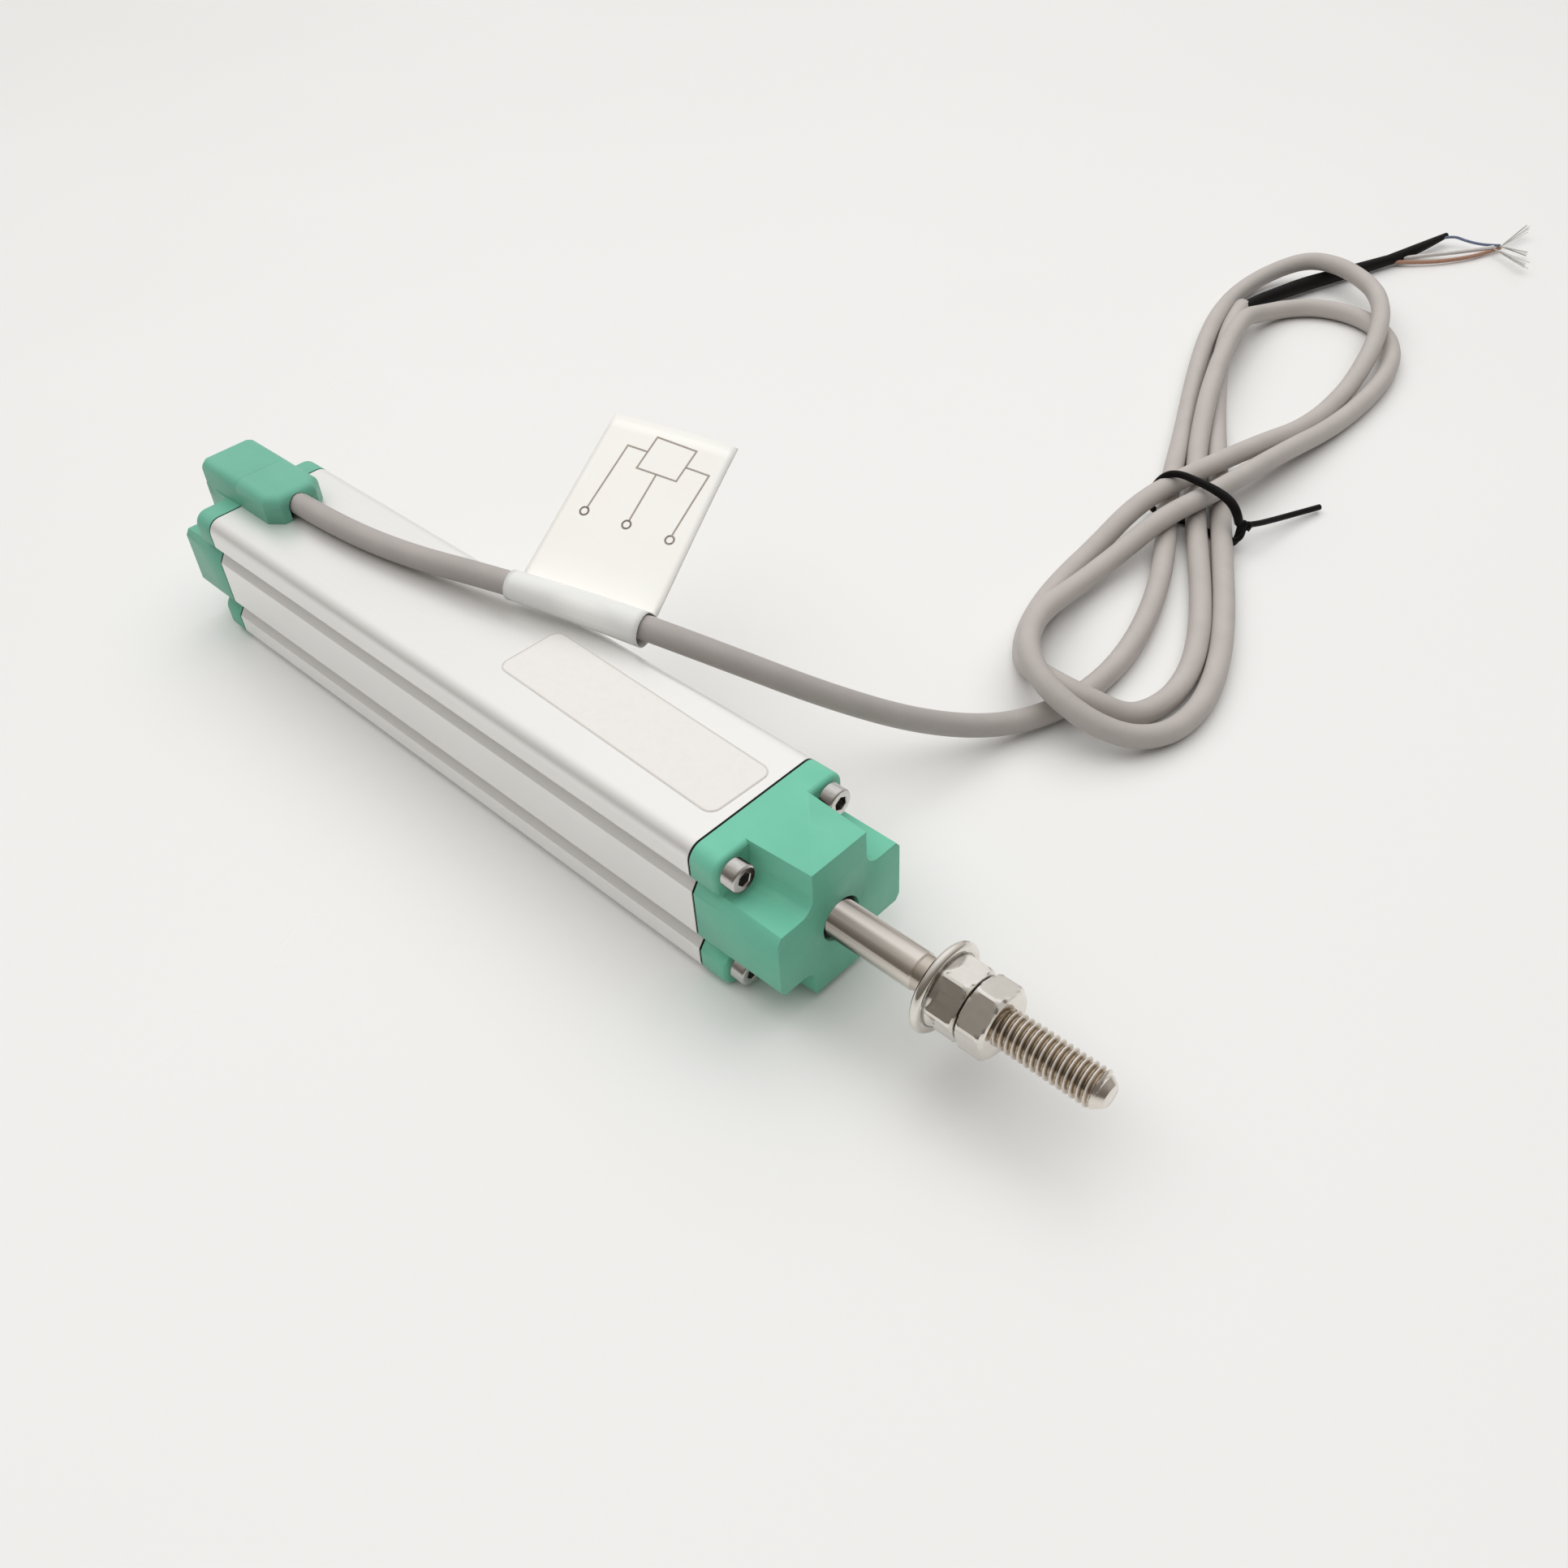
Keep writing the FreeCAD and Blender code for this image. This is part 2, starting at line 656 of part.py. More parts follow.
def make_board():
    width = cavity_width / 2 + board_slot_depth - board_gap
    start = -(board_length / 2)
    board = new_body("track_board", start)
    section = rectangle(-width, width, cavity_floor, board_top)
    pad(board, new_sketch(board, "board_section", [section]), board_length)
    for label, side in (("resistive_track", -1), ("collector_track", 1)):
        track = new_body(label, -(track_length / 2))
        middle = side * track_spacing / 2
        strip = rectangle(middle - track_width / 2, middle + track_width / 2, board_top, track_top)
        pad(track, new_sketch(track, label + "_section", [strip]), track_length)
    terminals = new_body("terminals", start, several=True)
    tabs = []
    for place_number in (-1, 0, 1):
        middle = place_number * terminal_pitch
        low = middle - terminal_width / 2
        tabs.append(rectangle(low, low + terminal_width, board_top, board_top + terminal_height))
    pad(terminals, new_sketch(terminals, "terminal_tabs", tabs), terminal_length)


def make_carriage():
    body = new_body("carriage", carriage_rear)
    half = cavity_width / 2 - carriage_gap
    waist = half - carriage_waist
    top = cavity_height / 2 - carriage_gap - cavity_round / 2
    floor = track_top + carriage_clearance
    right = [
        (half - cavity_round, top),
        (half, top - cavity_round),
        (half, top - carriage_rail),
        (waist, top - carriage_rail - carriage_waist),
        (waist, floor + carriage_rail),
        (half, floor + carriage_rail - carriage_waist),
        (half, floor),
    ]
    left = [(-u, v) for u, v in reversed(right)]
    pad(body, new_sketch(body, "carriage_section", [right + left]), carriage_length)
    depth = rod_socket_depth + stop_gap
    bore = [(0, 0, rod_diameter + 2 * running_gap)]
    pocket(body, new_sketch(body, "rod_socket", circles=bore, offset=carriage_length - depth), depth)
    neck_middle = carriage_length - rod_socket_depth + neck_offset + neck_width / 2
    slot_start = neck_middle - clip_thickness / 2 - clip_gap
    clip_half = clip_width / 2 + clip_gap
    slot = rectangle(-clip_half, clip_half, -clip_half, top)
    slot_sketch = new_sketch(body, "clip_slot", [slot], offset=slot_start)
    pocket(body, slot_sketch, clip_thickness + 2 * clip_gap)


def make_clip():
    """Fork clip in the carriage that keeps the rod's neck, so the rod turns but doesn't pull out."""
    start = rod_start + neck_offset + neck_width / 2 - clip_thickness / 2
    body = new_body("rod_clip", start)
    half = clip_width / 2
    gap_half = neck_diameter / 2 + running_gap
    fork = [
        (-half, -half),
        (-gap_half, -half),
        (-gap_half, gap_half),
        (gap_half, gap_half),
        (gap_half, -half),
        (half, -half),
        (half, half),
        (-half, half),
    ]
    pad(body, new_sketch(body, "clip_fork", [fork]), clip_thickness)


def make_wipers():
    """Two sprung brushes under the carriage, each slit into fingers that reach down to its track."""
    body = new_body("wiper_springs", carriage_rear + carriage_length / 2, several=True)
    under = track_top + carriage_clearance
    contact = track_top + wiper_gap
    knee = wiper_length * 0.8
    strip = [
        (0, under),
        (0, under - wiper_thickness),
        (wiper_pad, under - wiper_thickness),
        (knee, contact),
        (wiper_length, contact + wiper_thickness),
        (wiper_length, contact + 2 * wiper_thickness),
        (knee, contact + wiper_thickness),
        (wiper_pad, under),
    ]
    outer = track_spacing / 2 + track_width / 2 - wiper_slit
    sketch = new_sketch(body, "wiper_strip", [strip], role="XZ_Plane", offset=-outer)
    pad(body, sketch, 2 * outer)
    inner = track_spacing / 2 - track_width / 2 + wiper_slit
    cuts = [rectangle(-1, wiper_length + 1, -inner, inner)]
    finger = (outer - inner - 2 * wiper_slit) / 3
    for side in (-1, 1):
        for number in (1, 2):
            low = inner + number * finger + (number - 1) * wiper_slit
            edges = sorted((side * low, side * (low + wiper_slit)), key=lambda amount: amount.value)
            cuts.append(rectangle(wiper_pad, wiper_length + 1, edges[0], edges[1]))
    slits = new_sketch(body, "wiper_slits", cuts, role="XY_Plane", offset=contact)
    pocket(body, slits, carriage_clearance)


def make_rod():
    body = new_body("rod", rod_start)
    radius = rod_diameter / 2
    thread_radius = thread_diameter / 2
    showing_start = rod_length - thread_showing
    thread_start = showing_start - hex_nut_height - flange_nut_height
    relief_start = thread_start - thread_relief_length
    relief = thread_relief_diameter / 2
    neck_end = neck_offset + neck_width
    bevel = radius - neck_diameter / 2
    turned(body, "rod_section", [
        (0, 0),
        (0, radius - bevel / 2),
        (bevel / 2, radius),
        (neck_offset, radius),
        (neck_offset, neck_diameter / 2),
        (neck_end, neck_diameter / 2),
        (neck_end, radius),
        (relief_start, radius),
        (relief_start + radius - relief, relief),
        (thread_start, relief),
        (thread_start, thread_pitch_diameter / 2),
        (showing_start, thread_pitch_diameter / 2),
        (showing_start, thread_radius),
        (rod_length - thread_point, thread_radius),
        (rod_length, thread_radius - thread_point * 0.75),
        (rod_length, 0),
    ])


def hex_with_bevels(body, name, height, turn, bevel_rear):
    """A hexagon prism whose corners are turned down to cones at one or both ends."""
    pad(body, new_sketch(body, name + "_hex", [hexagon(nut_width, turn=turn)]), height)
    corner = nut_width / math.sqrt(3) + 1
    flat = nut_width / 2 - nut_bevel / 2
    drop = (corner - flat) * math.tan(math.radians(30))
    ends = [[(height, flat), (height, corner), (height - drop, corner)]]
    if bevel_rear:
        ends.append([(0, flat), (drop, corner), (0, corner)])
    for number, corners in enumerate(ends):
        sketch = new_sketch(body, "%s_bevel_%d" % (name, number), [corners], role="XZ_Plane")
        groove = body.newObject("PartDesign::Groove", sketch.Name + "_groove")
        groove.Profile = (sketch, [""])
        groove.ReferenceAxis = (sketch, ["H_Axis"])
        groove.Angle = 360


def make_nuts():
    bore = thread_pitch_diameter + 2 * nut_bore_gap
    lock = new_body("hex_nut", hex_nut_start)
    hex_with_bevels(lock, "hex_nut", hex_nut_height, lock_nut_turn, True)
    pocket(lock, new_sketch(lock, "hex_nut_bore", circles=[(0, 0, bore)]), hex_nut_height)
    flanged = new_body("flange_nut", flange_nut_start)
    hex_with_bevels(flanged, "flange_nut", flange_nut_height, nut_turn, False)
    rim = flange_nut_diameter / 2
    turned(flanged, "flange_skirt", [
        (0, bore / 2),
        (0, rim - flange_nut_rim / 3),
        (flange_nut_rim / 3, rim),
        (flange_nut_rim * 0.75, rim),
        (flange_nut_rim, rim - flange_nut_rim / 3),
        (flange_nut_rim + flange_nut_skirt, nut_width / 2),
        (flange_nut_rim + flange_nut_skirt, bore / 2),
    ])
    pocket(flanged, new_sketch(flanged, "flange_nut_bore", circles=[(0, 0, bore)]), flange_nut_height)


def rounded_path(points, closed=False):
    """Straight runs joined by tangent arcs, each as large as its two runs allow; gives edges and radii."""
    count = len(points)
    corners = range(count) if closed else range(1, count - 1)
    starts = {}
    finishes = {}
    arcs = {}
    radii = []
    for corner in corners:
        here = points[corner]
        back = points[corner - 1].sub(here)
        ahead = points[(corner + 1) % count].sub(here)
        reach = 0.45 * min(back.Length, ahead.Length)
        turn = math.pi - back.getAngle(ahead)
        radius = reach / math.tan(turn / 2)
        back.normalize()
        ahead.normalize()
        starts[corner] = here + back * reach
        finishes[corner] = here + ahead * reach
        inward = back + ahead
        inward.normalize()
        bulge = radius / math.cos(turn / 2) - radius
        arcs[corner] = Part.Arc(starts[corner], here + inward * bulge, finishes[corner]).toShape()
        radii.append(radius)
    edges = []
    legs = range(count) if closed else range(count - 1)
    for leg in legs:
        following = (leg + 1) % count
        if leg in arcs:
            edges.append(arcs[leg])
        begin = finishes.get(leg, points[leg])
        end = starts.get(following, points[following])
        edges.append(Part.LineSegment(begin, end).toShape())
    return edges, radii


def stretch(edges, start, finish):
    """The part of a path between two distances along it."""
    kept = []
    travelled = 0
    for edge in edges:
        low = max(start - travelled, 0) / edge.Length
        high = min(finish - travelled, edge.Length) / edge.Length
        if high > 0 and low < 1 and high > low:
            first, last = edge.ParameterRange
            span = last - first
            kept.append(edge.Curve.toShape(first + low * span, first + high * span))
        travelled += edge.Length
    return kept


def tube(edges, diameter):
    """A round solid swept along a path; its volume is compared with section times length."""
    wire = Part.Wire(edges)
    start = edges[0].Vertexes[0].Point
    heading = edges[0].tangentAt(edges[0].FirstParameter)
    ring = Part.Wire([Part.Circle(start, heading, diameter / 2).toShape()])
    solid = wire.makePipeShell([ring], True, False)
    expected = math.pi * diameter ** 2 / 4 * wire.Length
    if abs(solid.Volume - expected) > 0.005 * expected:
        raise ValueError("tube volume %.2f is not %.2f" % (solid.Volume, expected))
    return solid


def add_feature(label, shape):
    feature = doc.addObject("Part::Feature", label)
    feature.Shape = shape
    feature.Placement = FreeCAD.Placement()
    return register(feature, label)


def cable_route():
    """Points of the lead from inside the rear cap, over the housing's edge and down to the coil."""
    top = (axis_height + cable_axis).value
    rest = cable_radius.value
    ahead = outlet_front.value
    return [
        vector(cable_start.value, 0, top),
        vector(ahead + 5.5, 0, top),
        vector(ahead + 26.5, 2.3, top),
        vector(-2.5, 7.3, 29.9),
        vector(19.5, 13.2, 29.6),
        vector(35.8, 20.2, 25.8),
        vector(48.6, 31.0, 17.4),
        vector(57.8, 43.6, 8.6),
        vector(64.8, 56.2, 3.2),
        vector(69.4, 68.0, rest),
        vector(70.2, 82.5, rest),
        vector(66.6, 98.5, rest),
        vector(58.6, 117.0, rest),
    ]


def coil_outline(points):
    spots = [vector(x, y, 0) for x, y in points]
    edges, _ = rounded_path(spots, closed=True)
    return Part.Wire(edges)


def coil_shape():
    """Outer form of the figure of eight: two loops with a waist, open inside each loop."""
    around = coil_outline([
        (45.5, 139.5), (40.5, 118), (42, 97), (53, 73.5), (66, 61), (82.5, 61), (90.5, 75),
        (88, 95), (70, 124), (62.5, 139), (66, 160), (65.5, 190), (57.5, 219), (41, 241),
        (21.5, 255.5), (6.5, 247.5), (5, 222), (16.5, 190), (35, 156),
    ])
    lower_hole = coil_outline([
        (55.5, 123), (53.5, 103), (58.5, 82.5), (68, 70.5), (77, 72.5), (79, 88), (69, 108),
    ])
    upper_hole = coil_outline([
        (51, 154), (43, 168), (31.5, 188), (23, 207), (23.5, 225), (33, 233), (46, 226.5),
        (52.8, 206), (56, 180), (55, 162),
    ])
    plate = Part.Face(around).cut(Part.Face([lower_hole])).cut(Part.Face([upper_hole]))
    return plate.extrude(vector(0, 0, coil_height.value))


def tie_shape():
    """Flat tie round the coil's waist, as a closed band, with its twisted tails on the +X side."""
    inner_half = 8.6
    wall = tie_thickness.value
    band = tie_width.value
    tall = coil_height.value
    frame = Part.makeBox(2 * (inner_half + wall), band, tall + wall, vector(-inner_half - wall, -band / 2, 0))
    opening = Part.makeBox(2 * inner_half, band, tall - wall, vector(-inner_half, -band / 2, wall))
    loop = frame.cut(opening)
    loop.Placement = FreeCAD.Placement(vector(54, 139.3, 0), FreeCAD.Rotation(vector(0, 0, 1), -22))
    return loop


def tie_tail():
    """The tie's twist and its loose end, which lies on the table beside the coil."""
    level = tie_thickness.value
    points = [
        vector(62.9, 135.3, coil_height.value / 2),
        vector(65.2, 135.6, 3.4),
        vector(68.0, 139.0, 1.6),
        vector(71.4, 145.2, level),
        vector(73.0, 152.5, level),
    ]
    edges, _ = rounded_path(points)
    return tube(edges, tie_thickness.value * 1.4)


def make_lead():
    """Cable tube, coil, tie, tag and bare ends, all where they lie."""
    edges, radii = rounded_path(cable_route())
    print("cable bend radii:", ", ".join("%.1f" % radius for radius in radii))
    print("cable tube length: %.1f" % sum(edge.Length for edge in edges))
    coil = coil_shape()
    tie = tie_shape().fuse(tie_tail())
    outside = tube(edges, cable_diameter.value).cut(coil)
    add_feature("cable", max(outside.Solids, key=lambda solid: solid.Volume))
    add_feature("cable_coil", coil.cut(tie))
    add_feature("cable_tie", tie)
    make_tag(edges)
    make_ends(coil)


def make_tag(edges):
    """Film tag wrapped round the cable, with its flag tilted up on the +Y side."""
    middle_of_tag = 79.0
    half = tag_length.value / 2
    around = stretch(edges, middle_of_tag - half, middle_of_tag + half)
    inner = cable_diameter.value + 2 * tag_gap.value
    outer = inner + 2 * tag_wall.value
    first = around[0].Vertexes[0].Point
    last = around[-1].Vertexes[-1].Point
    along = last.sub(first)
    along.normalize()
    centre = (first + last) * 0.5
    side = vector(0, 0, 1).cross(along)
    side.normalize()
    rise = along.cross(side)
    tilt = math.radians(tag_tilt.value)
    out = side * math.cos(tilt) + rise * math.sin(tilt)
    normal = along.cross(out)
    corner = centre - along * half - normal * (tag_film.value / 2)
    base = Part.Wire(Part.makePolygon([
        corner,
        corner + along * tag_length.value,
        corner + along * tag_length.value + normal * tag_film.value,
        corner + normal * tag_film.value,
        corner,
    ]))
    flag = Part.Face(base).extrude(out * (outer / 2 + tag_reach.value))
    wrap = tube(around, outer)
    longer = stretch(edges, middle_of_tag - half - 1, middle_of_tag + half + 1)
    add_feature("flag_tag", wrap.fuse(flag).cut(tube(longer, inner)))


def make_ends(coil):
    """Sleeve over the jacket's end, the bare drain sleeve and the coloured wires beyond it."""
    low = sleeve_diameter.value / 2
    sleeve = [
        vector(20.0, 240.0, low),
        vector(26.5, 253.0, low),
        vector(29.5, 264.0, low),
        vector(31.4, 272.5, low),
    ]
    edges, _ = rounded_path(sleeve)
    add_feature("end_sleeve", tube(edges, sleeve_diameter.value).cut(coil))
    thin = wire_diameter.value / 2
    spread = sleeve_diameter.value / 4
    runs = {
        "drain_sleeve": (drain_diameter.value, [(31.2, 272.5, low), (32.4, 280.5, 1.4), (33.2, 289.0, 2.6)]),
        "brown_wire": (
            2 * thin,
            [(32.4, 272.4, thin), (38.5, 279.0, thin), (44.5, 286.5, thin), (49.0, 296.0, thin)],
        ),
        "blue_wire": (
            2 * thin,
            [(31.4, 272.5, low + spread), (38.0, 282.5, 1.5), (43.5, 290.5, 1.2), (47.4, 307.0, 1.0)],
        ),
    }
    taken = doc.getObject("end_sleeve").Shape
    for label, (diameter, points) in runs.items():
        path, _ = rounded_path([vector(*point) for point in points])
        free = tube(path, diameter).cut(taken)
        add_feature(label, max(free.Solids, key=lambda solid: solid.Volume))
        taken = taken.fuse(free)


def make_inner_leads():
    """Three thin leads from the board's terminals up to the cable."""
    solids = []
    board_end = -(board_length.value / 2)
    level = axis_height.value + (board_top + terminal_height).value + lead_diameter.value / 2
    wall = -(seat.value + chamber_depth.value) + duct_length.value / 2
    height = (axis_height + cable_axis).value
    for number in (-1, 0, 1):
        across = number * terminal_pitch.value
        points = [
            vector(board_end + terminal_length.value / 2, across, level),
            vector(board_end - 3, across, level),
            vector(wall, across * 0.8, level + 7),
            vector(wall - 0.6, across * 0.4, height - 8),
            vector(wall + 0.2, across * 0.4, height),
            vector(cable_start.value, across * 0.4, height),
        ]
        path, _ = rounded_path(points)
        solids.append(tube(path, lead_diameter.value))
    add_feature("inner_leads", Part.makeCompound(solids))


def write_parts():
    """Stops on any failed object, then writes one file for each sub-part."""
    doc.recompute()
    for thing in doc.Objects:
        if "Invalid" in thing.State or "Error" in thing.State:
            raise RuntimeError("%s: %s" % (thing.Name, thing.State))
    for piece in pieces:
        if piece.Shape.isNull() or not piece.Shape.isValid() or not piece.Shape.Solids:
            raise RuntimeError("bad shape: " + piece.Label)
    os.makedirs("parts", exist_ok=True)
    for piece in pieces:
        piece.Shape.exportStep("parts/%s.step" % piece.Label)
        print("%-20s %2d solids %10.2f mm3" % (piece.Label, len(piece.Shape.Solids), piece.Shape.Volume))


make_housing()
make_gasket("front_gasket", housing_length / 2)
make_gasket("rear_gasket", -seat)
make_front_cap()
make_rod_guide()
make_rear_cap()
make_rear_buffer()
make_cable_outlet()
make_screws("front_cap_screws", seat + flange_thickness, 0)
make_screws("rear_cap_screws", -(seat + flange_thickness - head_height), 180)
make_board()
make_carriage()
make_clip()
make_wipers()
make_rod()
make_nuts()
make_inner_leads()
make_lead()
write_parts()
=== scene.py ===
import math

import bmesh
import bpy
import numpy as np
from mathutils import Matrix, Quaternion, Vector


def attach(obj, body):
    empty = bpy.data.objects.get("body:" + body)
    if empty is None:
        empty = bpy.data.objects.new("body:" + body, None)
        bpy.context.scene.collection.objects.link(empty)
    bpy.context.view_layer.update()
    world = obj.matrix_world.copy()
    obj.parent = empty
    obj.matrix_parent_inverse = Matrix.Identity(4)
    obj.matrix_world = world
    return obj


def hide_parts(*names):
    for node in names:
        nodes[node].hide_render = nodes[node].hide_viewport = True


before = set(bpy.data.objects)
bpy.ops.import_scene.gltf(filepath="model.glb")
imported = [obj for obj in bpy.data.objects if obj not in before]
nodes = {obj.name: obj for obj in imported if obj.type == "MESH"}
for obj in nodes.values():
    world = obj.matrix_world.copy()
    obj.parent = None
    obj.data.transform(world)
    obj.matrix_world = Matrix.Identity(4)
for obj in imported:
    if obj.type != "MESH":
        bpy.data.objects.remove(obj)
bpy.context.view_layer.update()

scene = bpy.context.scene
mm = 0.001

# Height of the rod's axis above the housing's underside, in mm
axis_height = 13.0

# Edges above this height belong to the outlet block on the housing's top
block_level = 26.4 * mm
# Faces that meet at less than the first angle are one face, and at more than the others an eased edge
flat_angle = math.radians(0.8)
block_edge_angle = math.radians(25)
cap_edge_angle = math.radians(38)

# Along the rod, in mm: where its thread and its point start, and where the wiper's dull marks fade out
thread_from = (107.4, 107.7)
point_from = (122.4, 122.8)
dull_until = (80, 98)
# Distance from the rod's axis, in mm, over which the thread's roots, with their painted shade, turn into
# crests
crest_from = (2.62, 2.93)

# In mm: the nuts' seams along the rod and how far the painted shade in them reaches from each, then the
# distance from the axis where that painted shade ends and the heights between which painted shade comes in
# on the nuts' underside
nut_seams = ((98.72, 0.3), (103.4, 0.2))
seam_half = 0.06
seam_shade_within = (5.62, 5.9)
nut_underside_shade = (8.0, 10.5)

# In mm: where the lead's painted shade gives way to its lighter tone on the coil, along Y, and how far from
# the lead the flag starts
coil_from = (45, 85)
flag_from = (3.2, 3.5)


def colour(red, green, blue):
    """Linear colour of an 8 bit screen colour."""
    parts = []
    for part in (red, green, blue):
        part /= 255
        parts.append(part / 12.92 if part <= 0.04045 else ((part + 0.055) / 1.055) ** 2.4)
    return (*parts, 1.0)


class Link:
    """One socket of a node tree. Sums and products of links add Math nodes."""

    def __init__(self, tree, socket=None):
        self.tree = tree
        self.socket = socket

    def node(self, kind, settings=None, inputs=None, out=0):
        """Adds a node, sets its settings, then its sockets, and gives one of its outputs."""
        made = self.tree.nodes.new(kind)
        for name, value in (settings or {}).items():
            if name == "stops":
                while len(made.color_ramp.elements) < len(value):
                    made.color_ramp.elements.new(0.5)
                for stop, (place, tone) in zip(made.color_ramp.elements, value):
                    stop.position = place
                    stop.color = tone
            else:
                setattr(made, name, value)
        for name, value in (inputs or {}).items():
            if isinstance(value, Link):
                self.tree.links.new(value.socket, made.inputs[name])
            else:
                made.inputs[name].default_value = value
        return Link(self.tree, made.outputs[out]) if len(made.outputs) else None

    def math(self, operation, *values):
        return self.node("ShaderNodeMath", {"operation": operation}, dict(enumerate(values)))

    def __add__(self, other):
        return self.math("ADD", self, other)

    def __sub__(self, other):
        return self.math("SUBTRACT", self, other)

    def __rsub__(self, other):
        return self.math("SUBTRACT", other, self)

    def __mul__(self, other):
        return self.math("MULTIPLY", self, other)

    def __truediv__(self, other):
        return self.math("DIVIDE", self, other)

    __radd__ = __add__


def mixed(first, second, factor):
    """Colour between two colours."""
    return factor.node(
        "ShaderNodeMix", {"data_type": "RGBA"}, {0: factor, 6: first, 7: second}, out=2
    )


def grain(start, scale, detail=3.0, roughness=0.55):
    """Noise from 0 to 1 on the piece's own coordinates. scale is cells per metre along x, y and z."""
    place = start.node("ShaderNodeTexCoord", out="Object")
    stretched = start.node("ShaderNodeMapping", None, {"Vector": place, "Scale": scale})
    return start.node(
        "ShaderNodeTexNoise",
        None,
        {"Vector": stretched, "Scale": 1.0, "Detail": detail, "Roughness": roughness},
        out="Fac",
    )


def relief(height, depth, strength=1.0):
    """Surface normal of a height pattern that is depth metres deep."""
    return height.node(
        "ShaderNodeBump", None, {"Height": height, "Strength": strength, "Distance": depth}
    )


def finish(name, look):
    """Material whose shader gets the sockets that look gives."""
    material = bpy.data.materials.new(name)
    material.use_nodes = True
    material.node_tree.nodes.clear()
    start = Link(material.node_tree)
    shader = start.node("ShaderNodeBsdfPrincipled", None, look(start), "BSDF")
    start.node("ShaderNodeOutputMaterial", None, {"Surface": shader})
    return material


def grained(scale, dark, light, rough, bump=None, detail=2, more=None):
    """Look with one grain over its colour, its roughness and, where bump is given, its relief.

    scale is cells per metre, dark and light are 8 bit screen colours, rough is the least roughness
    and its rise, bump is the relief's depth in metres and its strength, more has further sockets.
    """

    def look(start):
        pattern = grain(start, scale if isinstance(scale, tuple) else (scale,) * 3, detail)
        sockets = {
            "Base Color": mixed(colour(*dark), colour(*light), pattern),
            "Roughness": rough[0] + pattern * rough[1],
        }
        if bump:
            sockets["Normal"] = relief(pattern, *bump)
        return {**sockets, **(more or {})}

    return look


def insulation(dark, light):
    """Thin extruded wire insulation between two tones."""
    return grained(1600, dark, light, (0.36, 0.18), (0.00003, 0.4))


def anodised_look(start):
    """Satin anodised extrusion: fine draw lines along its length."""
    lines = grain(start, (18, 2600, 2600), 4)
    cloud = grain(start, (45, 90, 90), 2)
    return {
        "Base Color": mixed(colour(237, 236, 233), colour(246, 245, 242), lines * 0.5 + cloud * 0.5),
        "Metallic": 0.5,
        "Roughness": 0.28 + lines * 0.14,
        "Normal": relief(lines, 0.00002, 0.35),
    }


def green_look(dark, light):
    """Glass filled nylon between two greens: fine moulded texture and slight flow marks."""

    def look(start):
        texture = grain(start, (2600, 2600, 2600), 2)
        flow = grain(start, (90, 160, 160), 3)
        return {
            "Base Color": mixed(dark, light, flow),
            "Roughness": 0.36 + texture * 0.16,
            "Normal": relief(texture, 0.00003, 0.4),
            "Specular IOR Level": 0.45,
        }

    return look


def between(value, low, high):
    """Share from 0 to 1 of the way from low to high, both in mm."""
    return value.node("ShaderNodeMapRange", None, {
        "Value": value, "From Min": low * mm, "From Max": high * mm,
    }, "Result")


def object_axis(start, axis):
    """The piece's own coordinate along one axis."""
    place = start.node("ShaderNodeTexCoord", out="Object")
    return start.node("ShaderNodeSeparateXYZ", None, {0: place}, axis)


def rod_radius(start):
    """Distance from the rod's axis."""
    place = start.node("ShaderNodeTexCoord", out="Object")
    from_axis = start.node("ShaderNodeVectorMath", {"operation": "MULTIPLY_ADD"}, {
        0: place, 1: (0, 1, 1), 2: (0, 0, -axis_height * mm),
    }, "Vector")
    return start.node("ShaderNodeVectorMath", {"operation": "LENGTH"}, {0: from_axis}, "Value")


def stainless_look(start):
    """Ground stainless rod: fine marks along it, dulled by the wiper, with painted shade in its thread's
    roots.
    """
    marks = grain(start, (35, 2400, 2400), 3)
    streaks = grain(start, (12, 700, 700), 2)
    station = object_axis(start, "X")
    threaded = between(station, *thread_from)
    point = between(station, *point_from)
    crest = start.math("MAXIMUM", between(rod_radius(start), *crest_from), point)
    dulled = (1.0 - between(station, *dull_until)) * (streaks * 1.7 - 0.35)
    steel = mixed(colour(226, 218, 209), colour(240, 234, 227), marks)
    bar = mixed(steel, colour(98, 92, 86), dulled)
    # Painted shade: the thread's roots take a darker brown than the steel of its crests
    return {
        "Base Color": mixed(colour(172, 157, 138), bar, crest),
        "Metallic": 1.0 - threaded * crest * (1.0 - point) * 0.5,
        "Roughness": 0.13 + marks * 0.08 + threaded * 0.06,
        "Normal": relief(marks, 0.000002, 0.15),
    }


def nickel_look(start):
    """Bright nickel plate over a forged nut, with painted shade in the seams and on its underside."""
    ripple = grain(start, (420, 420, 420), 2)
    fine = grain(start, (4200, 4200, 4200), 2)
    station = object_axis(start, "X")
    # Painted shade in the seams: a dark brown near each seam, up to a distance from the axis
    seam_shade = None
    for seam, reach in nut_seams:
        away = start.math("ABSOLUTE", station - seam * mm)
        near = 1.0 - between(away, seam_half, reach)
        seam_shade = near if seam_shade is None else start.math("MAXIMUM", seam_shade, near)
    seam_shade = seam_shade * (1.0 - between(rod_radius(start), *seam_shade_within))
    # Painted shade on the underside: the plate turns darker below a height
    under = 1.0 - between(object_axis(start, "Z"), *nut_underside_shade)
    plate = mixed(colour(224, 219, 211), colour(243, 240, 234), ripple)
    plate = mixed(plate, colour(176, 168, 160), under * (0.35 + ripple * 0.5))
    return {
        "Base Color": mixed(plate, colour(46, 38, 32), seam_shade * (0.55 + fine * 0.6)),
        "Metallic": 1.0,
        "Roughness": 0.07 + ripple * 0.06 + fine * 0.04,
        "Normal": relief(ripple, 0.00004, 0.4),
    }


